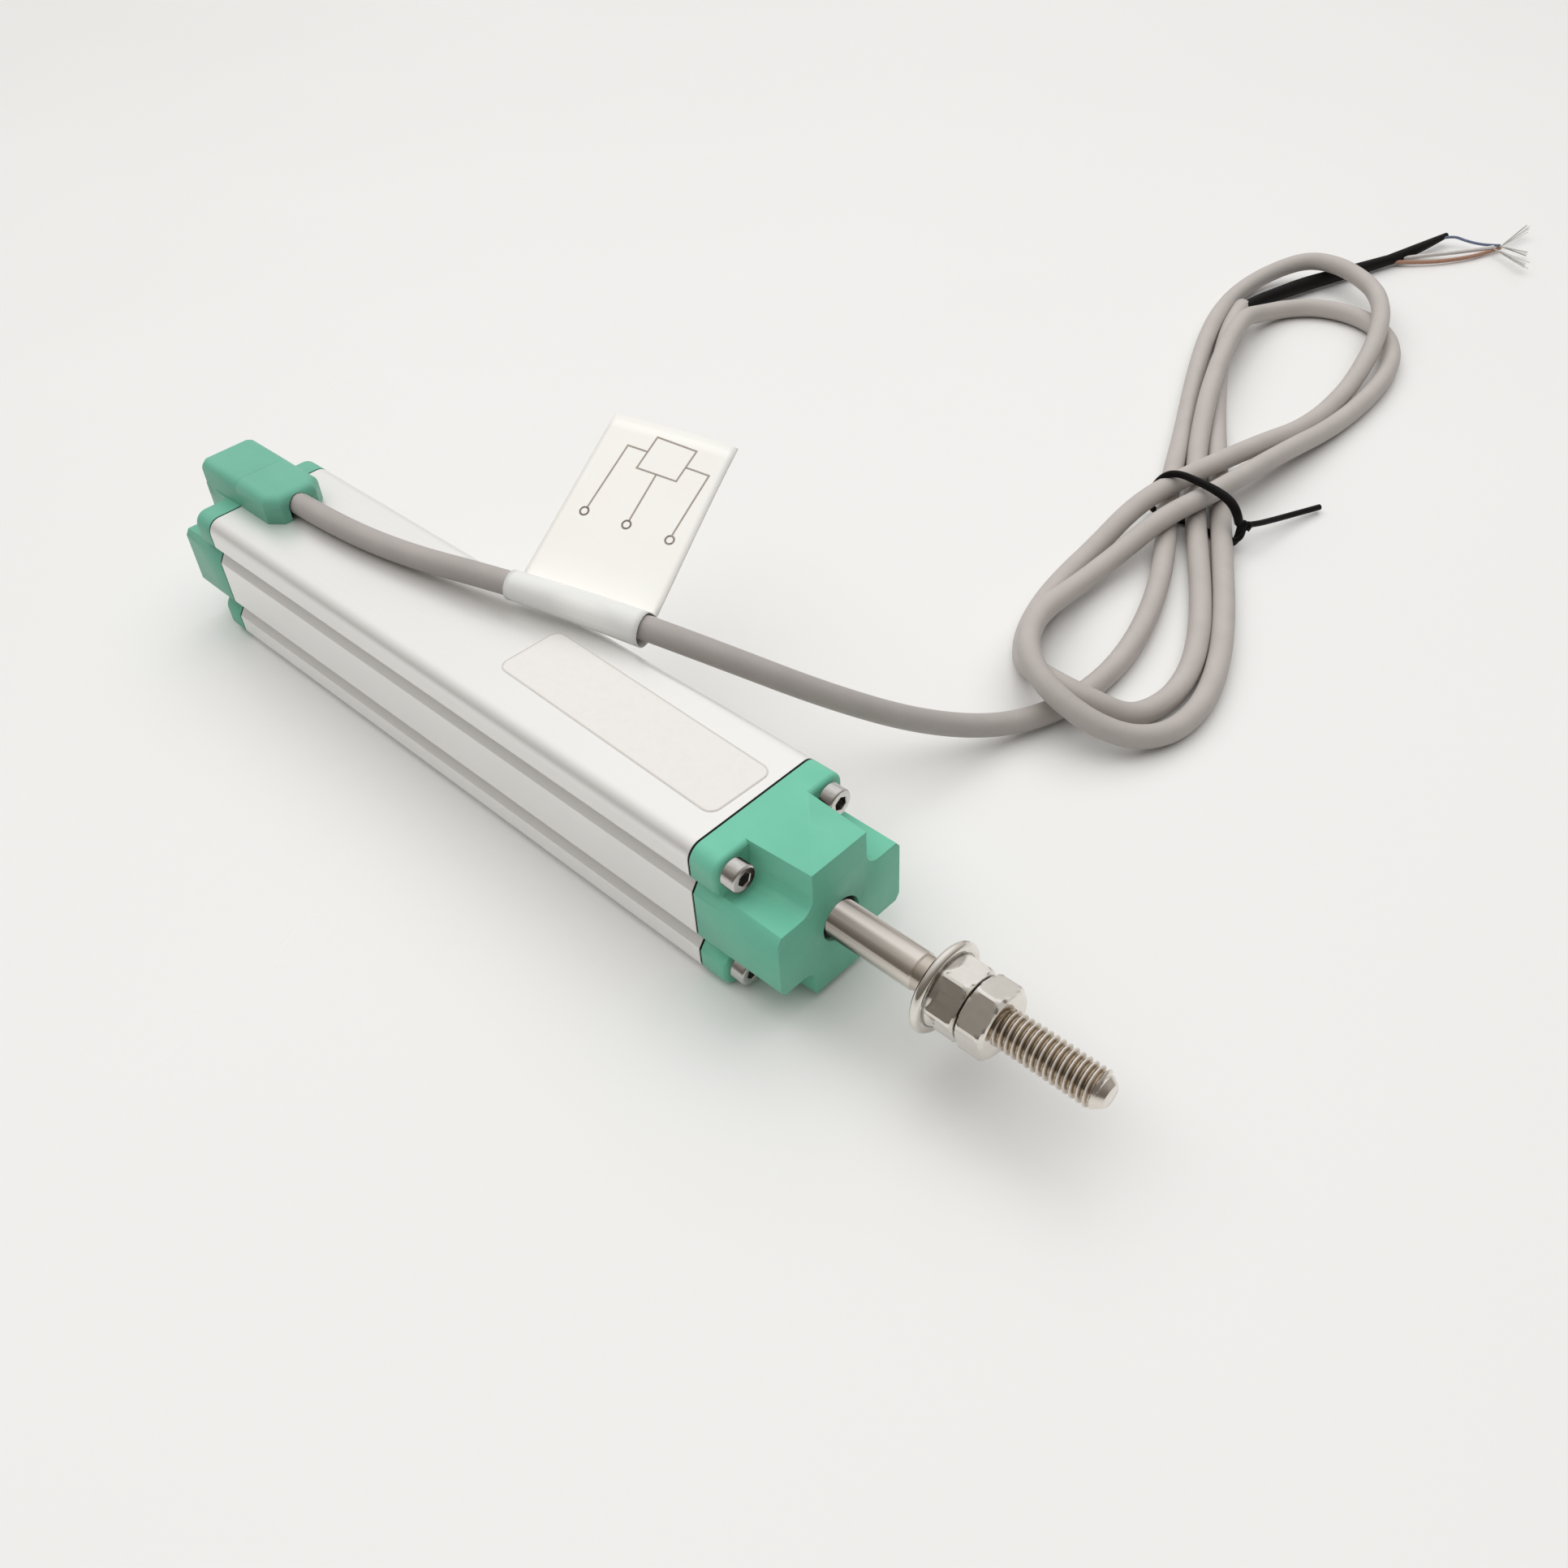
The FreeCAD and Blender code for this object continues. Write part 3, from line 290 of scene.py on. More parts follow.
def board_look(start):
    """Glass epoxy board with its weave."""
    place = start.node("ShaderNodeTexCoord", out="Object")
    warp, weft = (
        start.node("ShaderNodeTexWave", {"bands_direction": way}, {"Vector": place, "Scale": 480.0}, "Fac")
        for way in "XZ"
    )
    weave = warp * weft
    return {
        "Base Color": mixed(colour(40, 84, 58), colour(62, 116, 82), weave),
        "Roughness": 0.32 + weave * 0.15,
        "Normal": relief(weave, 0.00003, 0.4),
    }


def jacket_look(start):
    """Warm grey PVC jacket: satin, slightly wavy, with painted shade on its stretch before the coil."""
    skin = grain(start, (1400, 1400, 1400), 3)
    waves = grain(start, (160, 160, 160), 2)
    # Painted shade: the lead is darker before its coil and lighter on it
    toward_coil = between(object_axis(start, "Y"), *coil_from)
    shaded_stretch = mixed(colour(163, 157, 153), colour(182, 175, 171), waves * 0.7 + skin * 0.3)
    coil_tone = mixed(colour(178, 171, 166), colour(196, 189, 184), waves * 0.7 + skin * 0.3)
    return {
        "Base Color": mixed(shaded_stretch, coil_tone, toward_coil),
        "Roughness": 0.42 + skin * 0.16,
        "Normal": relief(skin * 0.4 + waves * 0.6, 0.00006, 0.35),
        "Specular IOR Level": 0.4,
    }


def film_look(middle, along):
    """White polyester film, glossy and a little cloudy, greyer round the lead, partly from the grey lead
    showing through and partly painted shade.
    """

    def look(start):
        cloud = grain(start, (120, 120, 120), 2)
        skin = grain(start, (1500, 1500, 1500), 2)
        place = start.node("ShaderNodeTexCoord", out="Object")
        away = start.node("ShaderNodeVectorMath", {"operation": "SUBTRACT"}, {
            0: place, 1: [c * mm for c in middle],
        }, "Vector")
        across = start.node("ShaderNodeVectorMath", {"operation": "CROSS_PRODUCT"}, {
            0: away, 1: list(along),
        }, "Vector")
        distance = start.node("ShaderNodeVectorMath", {"operation": "LENGTH"}, {0: across}, "Value")
        # Round the lead the film is greyer: partly the grey lead showing through, partly painted shade
        stretched = mixed(colour(226, 226, 223), colour(236, 236, 233), cloud)
        flat = mixed(colour(249, 246, 239), colour(253, 251, 246), cloud)
        return {
            "Base Color": mixed(stretched, flat, between(distance, *flag_from)),
            "Roughness": 0.26 + skin * 0.12,
            "Normal": relief(cloud, 0.00006, 0.15),
            "Coat Weight": 0.2 + cloud * 0.15,
            "Coat Roughness": 0.15,
        }

    return look


metal = {"Metallic": 1.0}
dull = {"Specular IOR Level": 0.15}
anodised = finish("anodised_extrusion", anodised_look)
green_nylon = finish("green_nylon", green_look(colour(102, 186, 157), colour(121, 203, 174)))
rear_nylon = finish("rear_nylon", green_look(colour(100, 172, 147), colour(117, 186, 161)))
rubber = finish("black_rubber", grained(
    900, (9, 8, 8), (22, 20, 20), (0.5, 0.2), (0.00004, 0.4), 3, dull,
))
ground_steel = finish("ground_stainless", stainless_look)
screw_steel = finish("screw_steel", grained(
    (900, 2600, 2600), (188, 186, 182), (226, 224, 220), (0.16, 0.12), (0.00001, 0.2), 3, metal,
))
nickel_plate = finish("nickel_plate", nickel_look)
bearing_plastic = finish("bearing_plastic", grained(
    3000, (92, 74, 52), (134, 110, 78), (0.45, 0.15), (0.00002, 0.4),
))
glass_epoxy = finish("glass_epoxy", board_look)
carbon_print = finish("carbon_print", grained(
    (30, 1800, 1800), (16, 16, 18), (34, 34, 37), (0.34, 0.2), (0.00001, 0.4), 3,
))
spring_brass = finish("spring_brass", grained(
    (60, 1500, 1500), (186, 146, 76), (220, 186, 116), (0.2, 0.15), (0.00001, 0.3), 3, metal,
))
white_acetal = finish("white_acetal", grained(
    1800, (224, 222, 216), (240, 238, 233), (0.38, 0.14), (0.00002, 0.4),
))
grey_jacket = finish("grey_jacket", jacket_look)
label_paper = finish("label_paper", grained(
    900, (229, 226, 222), (236, 234, 230), (0.55, 0.15), (0.00002, 0.3), 4,
))
brown_ink = finish("brown_ink", grained(2400, (150, 140, 130), (182, 172, 162), (0.5, 0.2)))
tie_plastic = finish("tie_plastic", grained(
    1300, (8, 7, 7), (20, 18, 18), (0.4, 0.22), (0.00005, 0.4), 3, dull,
))
brown_skin = finish("brown_insulation", insulation((146, 106, 86), (186, 146, 122)))
blue_skin = finish("blue_insulation", insulation((82, 90, 120), (120, 130, 156)))
white_skin = finish("white_insulation", insulation((196, 192, 188), (222, 219, 215)))
tinned_copper = finish("tinned_copper", grained(
    900, (196, 192, 186), (230, 228, 224), (0.25, 0.15), more=metal,
))
border_ink = finish("border_ink", insulation((202, 196, 188), (216, 211, 204)))
# Painted shade: near-black lining that darkens the screws' sockets
painted_socket_shade = finish("painted_socket_shade", insulation((12, 11, 10), (24, 22, 20)))
table_top = finish("table_top", grained(
    6, (234, 233, 231), (237, 236, 234), (0.22, 0.08), more={"Specular IOR Level": 0.3},
))


def dress(name, material):
    """Gives a CAD node its finish."""
    slots = nodes[name].data.materials
    slots.clear()
    slots.append(material)


def new_piece(name, mesh, body, material, replaced=()):
    """Shows a mesh as a piece that rides on a body and stands for CAD nodes."""
    piece = bpy.data.objects.new(name, mesh)
    scene.collection.objects.link(piece)
    if material is not None:
        mesh.materials.clear()
        mesh.materials.append(material)
    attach(piece, body)
    if replaced:
        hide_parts(*replaced)
    return piece


def mesh_from(name, points, faces, smooth_below=35):
    """Mesh of points in mm, with its edges sharp where they turn by more than the angle."""
    mesh = bpy.data.meshes.new(name)
    mesh.from_pydata([tuple(c * mm for c in p) for p in points], [], faces)
    work = bmesh.new()
    work.from_mesh(mesh)
    bmesh.ops.remove_doubles(work, verts=work.verts, dist=1e-7)
    bmesh.ops.recalc_face_normals(work, faces=work.faces)
    work.to_mesh(mesh)
    work.free()
    mesh.shade_smooth()
    mesh.set_sharp_from_angle(angle=math.radians(smooth_below))
    return mesh


def evaluated_mesh(piece):
    """Plain mesh of an object with its modifiers applied."""
    bpy.context.view_layer.update()
    view = bpy.context.evaluated_depsgraph_get()
    return bpy.data.meshes.new_from_object(piece.evaluated_get(view))


def softened(name, width, material, block_width=0.0):
    """Copy of a CAD node with its sharp edges eased, those above the housing's top by more."""
    mesh = nodes[name].data.copy()
    work = bmesh.new()
    work.from_mesh(mesh)
    bmesh.ops.remove_doubles(work, verts=work.verts, dist=2e-6)
    bmesh.ops.dissolve_limit(
        work, angle_limit=flat_angle, verts=work.verts, edges=work.edges
    )
    if block_width:
        block = [
            edge for edge in work.edges
            if min(v.co.z for v in edge.verts) > block_level
            and edge.calc_face_angle(0) > block_edge_angle
        ]
        bmesh.ops.bevel(
            work, geom=block, offset=block_width * mm, segments=3, profile=0.5,
            affect="EDGES", clamp_overlap=True,
        )
    work.to_mesh(mesh)
    work.free()
    mesh.shade_smooth()
    rough = bpy.data.objects.new(name + "_rough", mesh)
    scene.collection.objects.link(rough)
    ease = rough.modifiers.new("ease", "BEVEL")
    ease.width = width * mm
    ease.segments = 2
    ease.limit_method = "ANGLE"
    ease.angle_limit = cap_edge_angle
    ease.harden_normals = True
    ease.use_clamp_overlap = True
    soft = evaluated_mesh(rough)
    bpy.data.objects.remove(rough)
    return new_piece("soft_" + name, soft, "housing", material, [name])


def line_curve(name, points, radius, sizes=None, closed=False):
    """Curve of one smooth NURBS line through the given control points, in mm."""
    data = bpy.data.curves.new(name, "CURVE")
    data.dimensions = "3D"
    line = data.splines.new("NURBS")
    line.points.add(len(points) - 1)
    for spot, place in zip(line.points, points):
        spot.co = (*(c * mm for c in place), 1.0)
    if sizes:
        for spot, size in zip(line.points, sizes):
            spot.radius = size
    line.order_u = 3
    line.use_cyclic_u = closed
    line.use_endpoint_u = not closed
    line.resolution_u = 10
    data.bevel_depth = radius * mm
    data.bevel_resolution = 6
    data.use_fill_caps = True
    return data


def wire_piece(name, points, radius, material, replaced=(), sizes=None, closed=False):
    """Short wire or sleeve along a smooth line, as a mesh."""
    rough = bpy.data.objects.new(name + "_line", line_curve(name, points, radius, sizes, closed))
    scene.collection.objects.link(rough)
    mesh = evaluated_mesh(rough)
    bpy.data.objects.remove(rough)
    mesh.shade_smooth()
    mesh.set_sharp_from_angle(angle=math.radians(50))
    return new_piece(name, mesh, "housing", material, replaced)


def line_points(data):
    """Points of a curve's own line, in mm, as its mesh without a bevel gives them."""
    thin = data.copy()
    thin.bevel_depth = 0
    rough = bpy.data.objects.new("thin_line", thin)
    scene.collection.objects.link(rough)
    mesh = evaluated_mesh(rough)
    bpy.data.objects.remove(rough)
    return np.array([v.co for v in mesh.vertices]) / mm


# Camera at the photograph's place
eye = Vector((173.014, -99.859, 167.207)) * mm
aim = Vector((44.209, 24.479, 0.0)) * mm
roll = math.radians(3.693)
camera = bpy.data.objects.new("camera", bpy.data.cameras.new("camera"))
scene.collection.objects.link(camera)
camera.data.sensor_width = 36
camera.data.lens = 33.5045
camera.data.clip_start = 0.01
camera.data.clip_end = 20
camera.location = eye
camera.rotation_mode = "QUATERNION"
level = (aim - eye).to_track_quat("-Z", "Y")
camera.rotation_quaternion = level @ Quaternion((0, 0, 1), -roll)
scene.camera = camera

# Lead: out of the outlet, over the housing's edge and down to the table
lead_radius = 2.1
lead_lies = lead_radius
free_run = [
    (-65.4, 0, 28.25), (-45.7, 0, 28.25), (-24.7, 2.3, 28.25), (-2.5, 7.3, 29.9), (19.5, 13.2, 29.6),
    (35.8, 20.2, 25.8), (48.6, 31, 17.4), (57.8, 43.6, 8.6), (64.8, 56.2, 3.2), (69.4, 68, lead_lies),
    (70.2, 82.5, lead_lies), (66.6, 98.5, lead_lies), (58.6, 117, lead_lies),
]

# Then two turns of a figure of eight, in passes that leave the waist, go round one loop and come back.
# Each pass has the loop's direction in degrees, its reach, its bulge going out and coming back and its
# tip's lean, all in mm, and its place across the waist. The last pass stops part of the way.
waist = np.array((54.0, 138.0))
coil_passes = [
    (83, 107, 62, 18, 37, -8.5),
    (-92, 69, -13, -48.5, 20.5, -5.5),
    (123, 93.5, 3, 67, -28, -2),
    (-94, 73, -15, -52, 20, 2),
    (116.5, 99.5, 12, 4, 0, 4),
]
steps_in_pass = 16
last_share = 0.4
last_steps = 8

# Where the lead rides over itself or its end sleeve: the pass and share of it, half the length at full
# height and the slope's length in passes, and the lift in mm
coil_humps = [
    (0.5, 0.04, 0.14, 3.9), (0.65, 0.05, 0.15, 4.3), (1.0, 0.045, 0.1, 4.8), (1.5, 0.03, 0.11, 4.5),
    (2.22, 0.08, 0.11, 4.3), (3.02, 0.045, 0.1, 4.4), (3.4, 0.03, 0.26, 7.0),
]


def coil_height(station):
    """Height of the lead's middle at a station of the coil, in mm."""
    lift = 0.0
    for place, flat, slope, high in coil_humps:
        part = min(max((flat + slope - abs(station - place)) / slope, 0.0), 1.0)
        lift = max(lift, high * part * part * (3 - 2 * part))
    return lead_lies + lift


def coil_points():
    """Control points of the figure of eight, in mm."""
    points = []
    for number, (heading, reach, bulge_out, bulge_back, lean, across) in enumerate(coil_passes):
        ahead = np.array((math.cos(math.radians(heading)), math.sin(math.radians(heading))))
        aside = np.array((-ahead[1], ahead[0]))
        last = number == len(coil_passes) - 1
        across_next = across if last else coil_passes[number + 1][-1]
        if last:
            shares = [last_share * step / last_steps for step in range(last_steps + 1)]
        else:
            shares = [step / steps_in_pass for step in range(steps_in_pass)]
        for share in shares:
            out = math.sin(math.pi * share)
            back = math.cos(math.pi * share)
            bulge = bulge_back + (bulge_out - bulge_back) * (1 + back) / 2
            root = waist + np.array((across + (across_next - across) * share, 0))
            spot = root + ahead * reach * out + aside * (bulge * out * back + lean * out * out)
            points.append((*spot, coil_height(number + share)))
    return points


lead_line = line_curve("lead", free_run + coil_points(), lead_radius)
lead = bpy.data.objects.new("lead", lead_line)
scene.collection.objects.link(lead)
lead_line.materials.append(grey_jacket)
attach(lead, "housing")
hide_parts("cable", "cable_coil")
lead_path = line_points(lead_line)
lead_steps = np.linalg.norm(np.diff(lead_path, axis=0), axis=1)
lead_arc = np.concatenate([[0], np.cumsum(lead_steps)])


def lead_at(distance):
    """Point of the lead's line that far from its start, in mm."""
    return np.array([np.interp(distance, lead_arc, lead_path[:, k]) for k in range(3)])


# Lead end: black sleeve pulled over the jacket, drain sleeve and three thin wires
lead_length = lead_arc[-1]
sleeve_lift = np.array((0, 0, 0.15))
end_sleeve = wire_piece(
    "end_sleeve_film",
    [
        lead_at(lead_length - 6) + sleeve_lift, lead_at(lead_length - 2.5) + sleeve_lift, (14.8, 227, 2.2),
        (16.4, 233, 2.1), (18.6, 241, 2.1), (21.6, 250, 1.9), (25, 260, 1.6), (29.4, 272, 1.6),
    ],
    1.6, rubber, ["end_sleeve"], [0.9, 0.95, 1.0, 1.05, 1.15, 1.05, 0.95, 0.8],
)
drain_lead = wire_piece(
    "drain_lead",
    [(27.6, 267, 1.7), (30, 274.6, 1.9), (31.6, 281, 2.1), (33.2, 289.6, 2.3)],
    1.0, rubber, ["drain_sleeve"], [1.2, 1.35, 1.2, 0.7],
)
brown_wire = wire_piece(
    "brown_wire_skin",
    [(28.4, 268.6, 1.2), (34, 273, 0.8), (40.4, 280.6, 0.7), (44.2, 288, 0.7), (46, 294.2, 0.7)],
    0.5, brown_skin, ["brown_wire"],
)
white_wire = wire_piece(
    "white_wire_skin",
    [(28.8, 270, 1.5), (33.6, 277.6, 1.1), (40, 284.6, 1.3), (45.2, 291.6, 1.5)],
    0.5, white_skin,
)
blue_wire = wire_piece(
    "blue_wire_skin",
    [(32.6, 286.4, 2.2), (34.6, 290.2, 2.4), (38.4, 290.4, 1.8), (43, 291.2, 1.6), (46.2, 293.2, 1.7)],
    0.34, blue_skin, ["blue_wire"],
)


def node_tree(name, sizes):
    """Empty Geometry Nodes tree with one named input for each size, its start and its input links."""
    tree = bpy.data.node_groups.new(name, "GeometryNodeTree")
    tree.interface.new_socket("Geometry", in_out="OUTPUT", socket_type="NodeSocketGeometry")
    for size, kind in sizes.items():
        tree.interface.new_socket(size, in_out="INPUT", socket_type=kind)
    inlet = tree.nodes.new("NodeGroupInput")
    return Link(tree), {size: Link(tree, inlet.outputs[size]) for size in sizes}


def close_tree(start, shape, material):
    """Ends a tree with real geometry in one finish."""
    real = start.node("GeometryNodeRealizeInstances", None, {0: shape})
    done = start.node("GeometryNodeSetMaterial", None, {"Geometry": real, "Material": material})
    start.node("NodeGroupOutput", None, {0: done})


def grown(name, tree, sizes):
    """Plain mesh that a tree makes with the given sizes."""
    holder = bpy.data.objects.new(name, bpy.data.meshes.new(name))
    scene.collection.objects.link(holder)
    maker = holder.modifiers.new(name, "NODES")
    maker.node_group = tree
    for socket in tree.interface.items_tree:
        if socket.in_out == "INPUT":
            maker[socket.identifier] = sizes[socket.name]
    mesh = evaluated_mesh(holder)
    holder.modifiers.remove(maker)
    bpy.data.objects.remove(holder)
    return mesh


def thread_tree():
    """Rolled thread along X with a coned point: a grid wrapped round the axis."""
    start, size = node_tree("rolled_thread", {
        "Station": "NodeSocketFloat", "Length": "NodeSocketFloat", "Axis": "NodeSocketFloat",
        "Root": "NodeSocketFloat", "Crest": "NodeSocketFloat", "Pitch": "NodeSocketFloat",
        "Point length": "NodeSocketFloat", "Point radius": "NodeSocketFloat",
    })
    sheet = start.node("GeometryNodeMeshGrid", None, {
        "Size X": 1.0, "Size Y": 1.0, "Vertices X": 262, "Vertices Y": 73,
    }, "Mesh")
    place = start.node("GeometryNodeInputPosition")
    part = start.node("ShaderNodeSeparateXYZ", None, {0: place}, "X") + 0.5
    turn = start.node("ShaderNodeSeparateXYZ", None, {0: place}, "Y") + 0.5
    end_share = 0.008
    run = start.math("MAXIMUM", (part - end_share) / (1 - 2 * end_share), 0.0)
    run = start.math("MINIMUM", run, 1.0)
    along = run * size["Length"]
    wave = start.math("ABSOLUTE", start.math("FRACT", along / size["Pitch"] - turn) * 2.0 - 1.0)
    root_share = 0.25
    flank_share = 0.6
    flank = start.math("MAXIMUM", (wave - root_share) / flank_share, 0.0)
    flank = start.math("MINIMUM", flank, 1.0)
    thread = size["Root"] + (size["Crest"] - size["Root"]) * flank
    slope = (size["Crest"] - size["Point radius"]) / size["Point length"]
    cone = size["Point radius"] + (size["Length"] - along) * slope
    closing = start.math("MINIMUM", start.math("MINIMUM", part, 1.0 - part) / end_share, 1.0)
    radius = start.math("MINIMUM", thread, cone) * closing
    angle = turn * (2 * math.pi)
    wrapped = start.node("ShaderNodeCombineXYZ", None, {
        "X": size["Station"] + along,
        "Y": radius * start.math("COSINE", angle),
        "Z": size["Axis"] + radius * start.math("SINE", angle),
    })
    round_sheet = start.node("GeometryNodeSetPosition", None, {"Geometry": sheet, "Position": wrapped})
    welded = start.node("GeometryNodeMergeByDistance", None, {"Geometry": round_sheet, "Distance": 1e-6})
    close_tree(start, welded, ground_steel)
    return start.tree


def screw_tree(screw, material):
    """Four screws at the corners of a square round the axis, all facing along X."""
    start, size = node_tree("cap_screws", {
        "Spread": "NodeSocketFloat", "Station": "NodeSocketFloat", "Axis": "NodeSocketFloat",
        "Facing": "NodeSocketFloat",
    })
    corners = start.node("GeometryNodeMeshGrid", None, {
        "Size X": size["Spread"], "Size Y": size["Spread"], "Vertices X": 2, "Vertices Y": 2,
    }, "Mesh")
    upright = start.node("GeometryNodeTransform", None, {
        "Geometry": corners, "Rotation": (0, math.pi / 2, 0),
    })
    shape = start.node("GeometryNodeObjectInfo", None, {"Object": screw}, "Geometry")
    spins = start.node("FunctionNodeRandomValue", {"data_type": "FLOAT_VECTOR"}, {
        0: (0, 0, 0), 1: (1.0, 0, 0), "Seed": 4,
    })
    placed = start.node("GeometryNodeInstanceOnPoints", None, {
        "Points": upright, "Instance": shape, "Rotation": spins,
    })
    turn = start.node("ShaderNodeCombineXYZ", None, {"Z": size["Facing"]})
    shift = start.node("ShaderNodeCombineXYZ", None, {"X": size["Station"], "Z": size["Axis"]})
    moved = start.node("GeometryNodeTransform", None, {
        "Geometry": placed, "Translation": shift, "Rotation": turn,
    })
    close_tree(start, moved, material)
    return start.tree


def strand_tree():
    """Bare strands that fan out of a wire's end, along Z before they are turned."""
    start, size = node_tree("bare_strands", {
        "Count": "NodeSocketInt", "Length": "NodeSocketFloat", "Thickness": "NodeSocketFloat",
        "Fan": "NodeSocketFloat", "Seed": "NodeSocketInt",
    })
    strand = start.node("GeometryNodeMeshCylinder", None, {
        "Vertices": 7, "Side Segments": 3, "Radius": size["Thickness"], "Depth": size["Length"],
    }, "Mesh")
    lift = start.node("ShaderNodeCombineXYZ", None, {"Z": size["Length"] * 0.5})
    raised = start.node("GeometryNodeTransform", None, {"Geometry": strand, "Translation": lift})
    spots = start.node("GeometryNodePoints", None, {"Count": size["Count"]})
    reach = start.node("ShaderNodeCombineXYZ", None, {"X": size["Fan"], "Y": size["Fan"], "Z": 3.0})
    back = start.node("ShaderNodeCombineXYZ", None, {
        "X": size["Fan"] * -1.0, "Y": size["Fan"] * -1.0, "Z": 0.0,
    })
    lean = start.node("FunctionNodeRandomValue", {"data_type": "FLOAT_VECTOR"}, {
        0: back, 1: reach, "Seed": size["Seed"],
    })
    fanned = start.node("GeometryNodeInstanceOnPoints", None, {
        "Points": spots, "Instance": raised, "Rotation": lean,
    })
    close_tree(start, fanned, tinned_copper)
    return start.tree


def ringed(rings, segments=96, turn=0.0):
    """Points and faces through rings of (x, radius at an angle) about the X axis, in mm."""
    points = []
    faces = []
    angles = [2 * math.pi * k / segments for k in range(segments)]
    for x, radius in rings:
        for angle in angles:
            r = radius(angle) if callable(radius) else radius
            points.append((x, r * math.cos(angle + turn), r * math.sin(angle + turn)))
    for ring in range(len(rings) - 1):
        low = ring * segments
        for k in range(segments):
            after = (k + 1) % segments
            faces.append((low + k, low + after, low + segments + after, low + segments + k))
    return points, faces


def raised_by(points, height):
    """Points lifted by a height."""
    return [(x, y, z + height) for x, y, z in points]


def hexagon(across):
    """Radius of a hexagon at an angle."""
    return lambda angle: across / 2 / math.cos((angle + math.pi / 6) % (math.pi / 3) - math.pi / 6)


# Rod: ground bar with its neck, relief and rolled thread
rod_profile = [
    (-39.6, 0), (-39.6, 2.6), (-39.2, 3.0), (-35.6, 3.0), (-35.6, 2.1), (-34.0, 2.1), (-34.0, 3.0),
    (20.0, 3.0), (93.9, 3.0), (94.2, 2.8), (97.2, 2.8), (97.2, 2.675), (107.55, 2.675), (107.55, 0),
]
bar_points, bar_faces = ringed(rod_profile)
bar_mesh = mesh_from("rod_bar", raised_by(bar_points, axis_height), bar_faces)
bar_mesh.materials.append(ground_steel)
thread_mesh = grown("rod_thread", thread_tree(), {
    "Station": 107.6 * mm, "Length": 16.8 * mm, "Axis": axis_height * mm, "Root": 2.42 * mm,
    "Crest": 2.95 * mm, "Pitch": 1.0 * mm, "Point length": 1.7 * mm, "Point radius": 1.7 * mm,
})
joined = bmesh.new()
joined.from_mesh(bar_mesh)
joined.from_mesh(thread_mesh)
bmesh.ops.recalc_face_normals(joined, faces=joined.faces)
joined.to_mesh(bar_mesh)
joined.free()
bar_mesh.shade_smooth()
bar_mesh.set_sharp_from_angle(angle=math.radians(32))
new_piece("threaded_rod", bar_mesh, "rod", ground_steel, ["rod"])

# Nuts: a flange nut with a rolled rim, and a lock nut against it
nut_width = 10.0
nut_corner = 5.64
nut_end_radius = 4.72
nut_cone = 1.73
nut_bore = 2.72


def nut_sides(height, both_ends):
    """Radius of a hexagon nut's sides at a height: corners rounded, ends turned to cones."""
    flats = hexagon(nut_width)

    def at(x):
        cap = nut_end_radius + (height - x) * nut_cone
        foot = nut_end_radius + x * nut_cone if both_ends else nut_width
        return lambda angle: min(flats(angle + math.pi / 6), nut_corner, cap, foot)

    return at


def nut_ends(height, both_ends):
    """Places of a nut's rings along its axis, close together where its ends are turned."""
    steps = [0.05 * k * k for k in range(6)]
    near_end = [height - step for step in reversed(steps)]
    near_foot = steps if both_ends else []
    return near_foot + near_end


lock_start = 103.4
lock_height = 4.6
lock_side = nut_sides(lock_height, True)
lock_rings = [(0, nut_bore)] + [(x, lock_side(x)) for x in nut_ends(lock_height, True)]
lock_rings += [(lock_height, nut_bore), (0, nut_bore)]

flange_start = 97.2
flange_height = 6.2
rim_round = 0.8
rim_middle = 6.3
valley = (1.5, 5.72)
skirt_end = 2.5
flange_side = nut_sides(flange_height, False)
rim_inset = 0.2
rim_steps = 11
rim_step = math.radians(21)
flange_rings = [(0, nut_bore), (0, rim_middle - rim_inset)]
for step in range(rim_steps):
    around = math.pi - rim_step * step
    flange_rings.append((
        rim_round + rim_round * math.cos(around), rim_middle + rim_round * math.sin(around),
    ))
flange_rings.append(valley)


def skirt_side(x):
    """The nut's sides where the skirt runs up to them."""
    part = (x - valley[0]) / (skirt_end - valley[0])
    cone = valley[1] + (nut_width / 2 - valley[1]) * part
    side = flange_side(x)
    return lambda angle: max(cone, side(angle))


for x in (1.7, 1.9, 2.1, 2.3, skirt_end):
    flange_rings.append((x, skirt_side(x)))
flange_rings += [(x, flange_side(x)) for x in nut_ends(flange_height, False)]
flange_rings += [(flange_height, nut_bore), (0, nut_bore)]
for name, start_at, rings, corner_at in (
    ("hex_nut", lock_start, lock_rings, 41),
    ("flange_nut", flange_start, flange_rings, 49),
):
    placed_rings = [(x + start_at, radius) for x, radius in rings]
    spots, faces = ringed(placed_rings, 144, math.radians(corner_at))
    nut_mesh = mesh_from("plated_" + name, raised_by(spots, axis_height), faces, 24)
    new_piece("plated_" + name, nut_mesh, "rod", nickel_plate, [name])

# Cap screws: socket heads, four at each end. The sizes are in mm from under the head.
socket_hex = hexagon(2.05)
screw_rings = [
    (-11.3, 0), (-11.3, 0.9), (-11.0, 1.2), (-0.1, 1.2), (0, 2.1), (0.1, 2.25), (2.1, 2.25), (2.3, 2.2),
    (2.44, 2.08), (2.5, 1.9), (2.5, lambda a: socket_hex(a) + 0.1), (2.4, socket_hex),
    (1.1, socket_hex), (0.9, 0),
]
screw_points, screw_faces = ringed(screw_rings, 48)
screw_mesh = mesh_from("cap_screw", screw_points, screw_faces, 40)
screw_shape = bpy.data.objects.new("cap_screw_shape", screw_mesh)
scene.collection.objects.link(screw_shape)
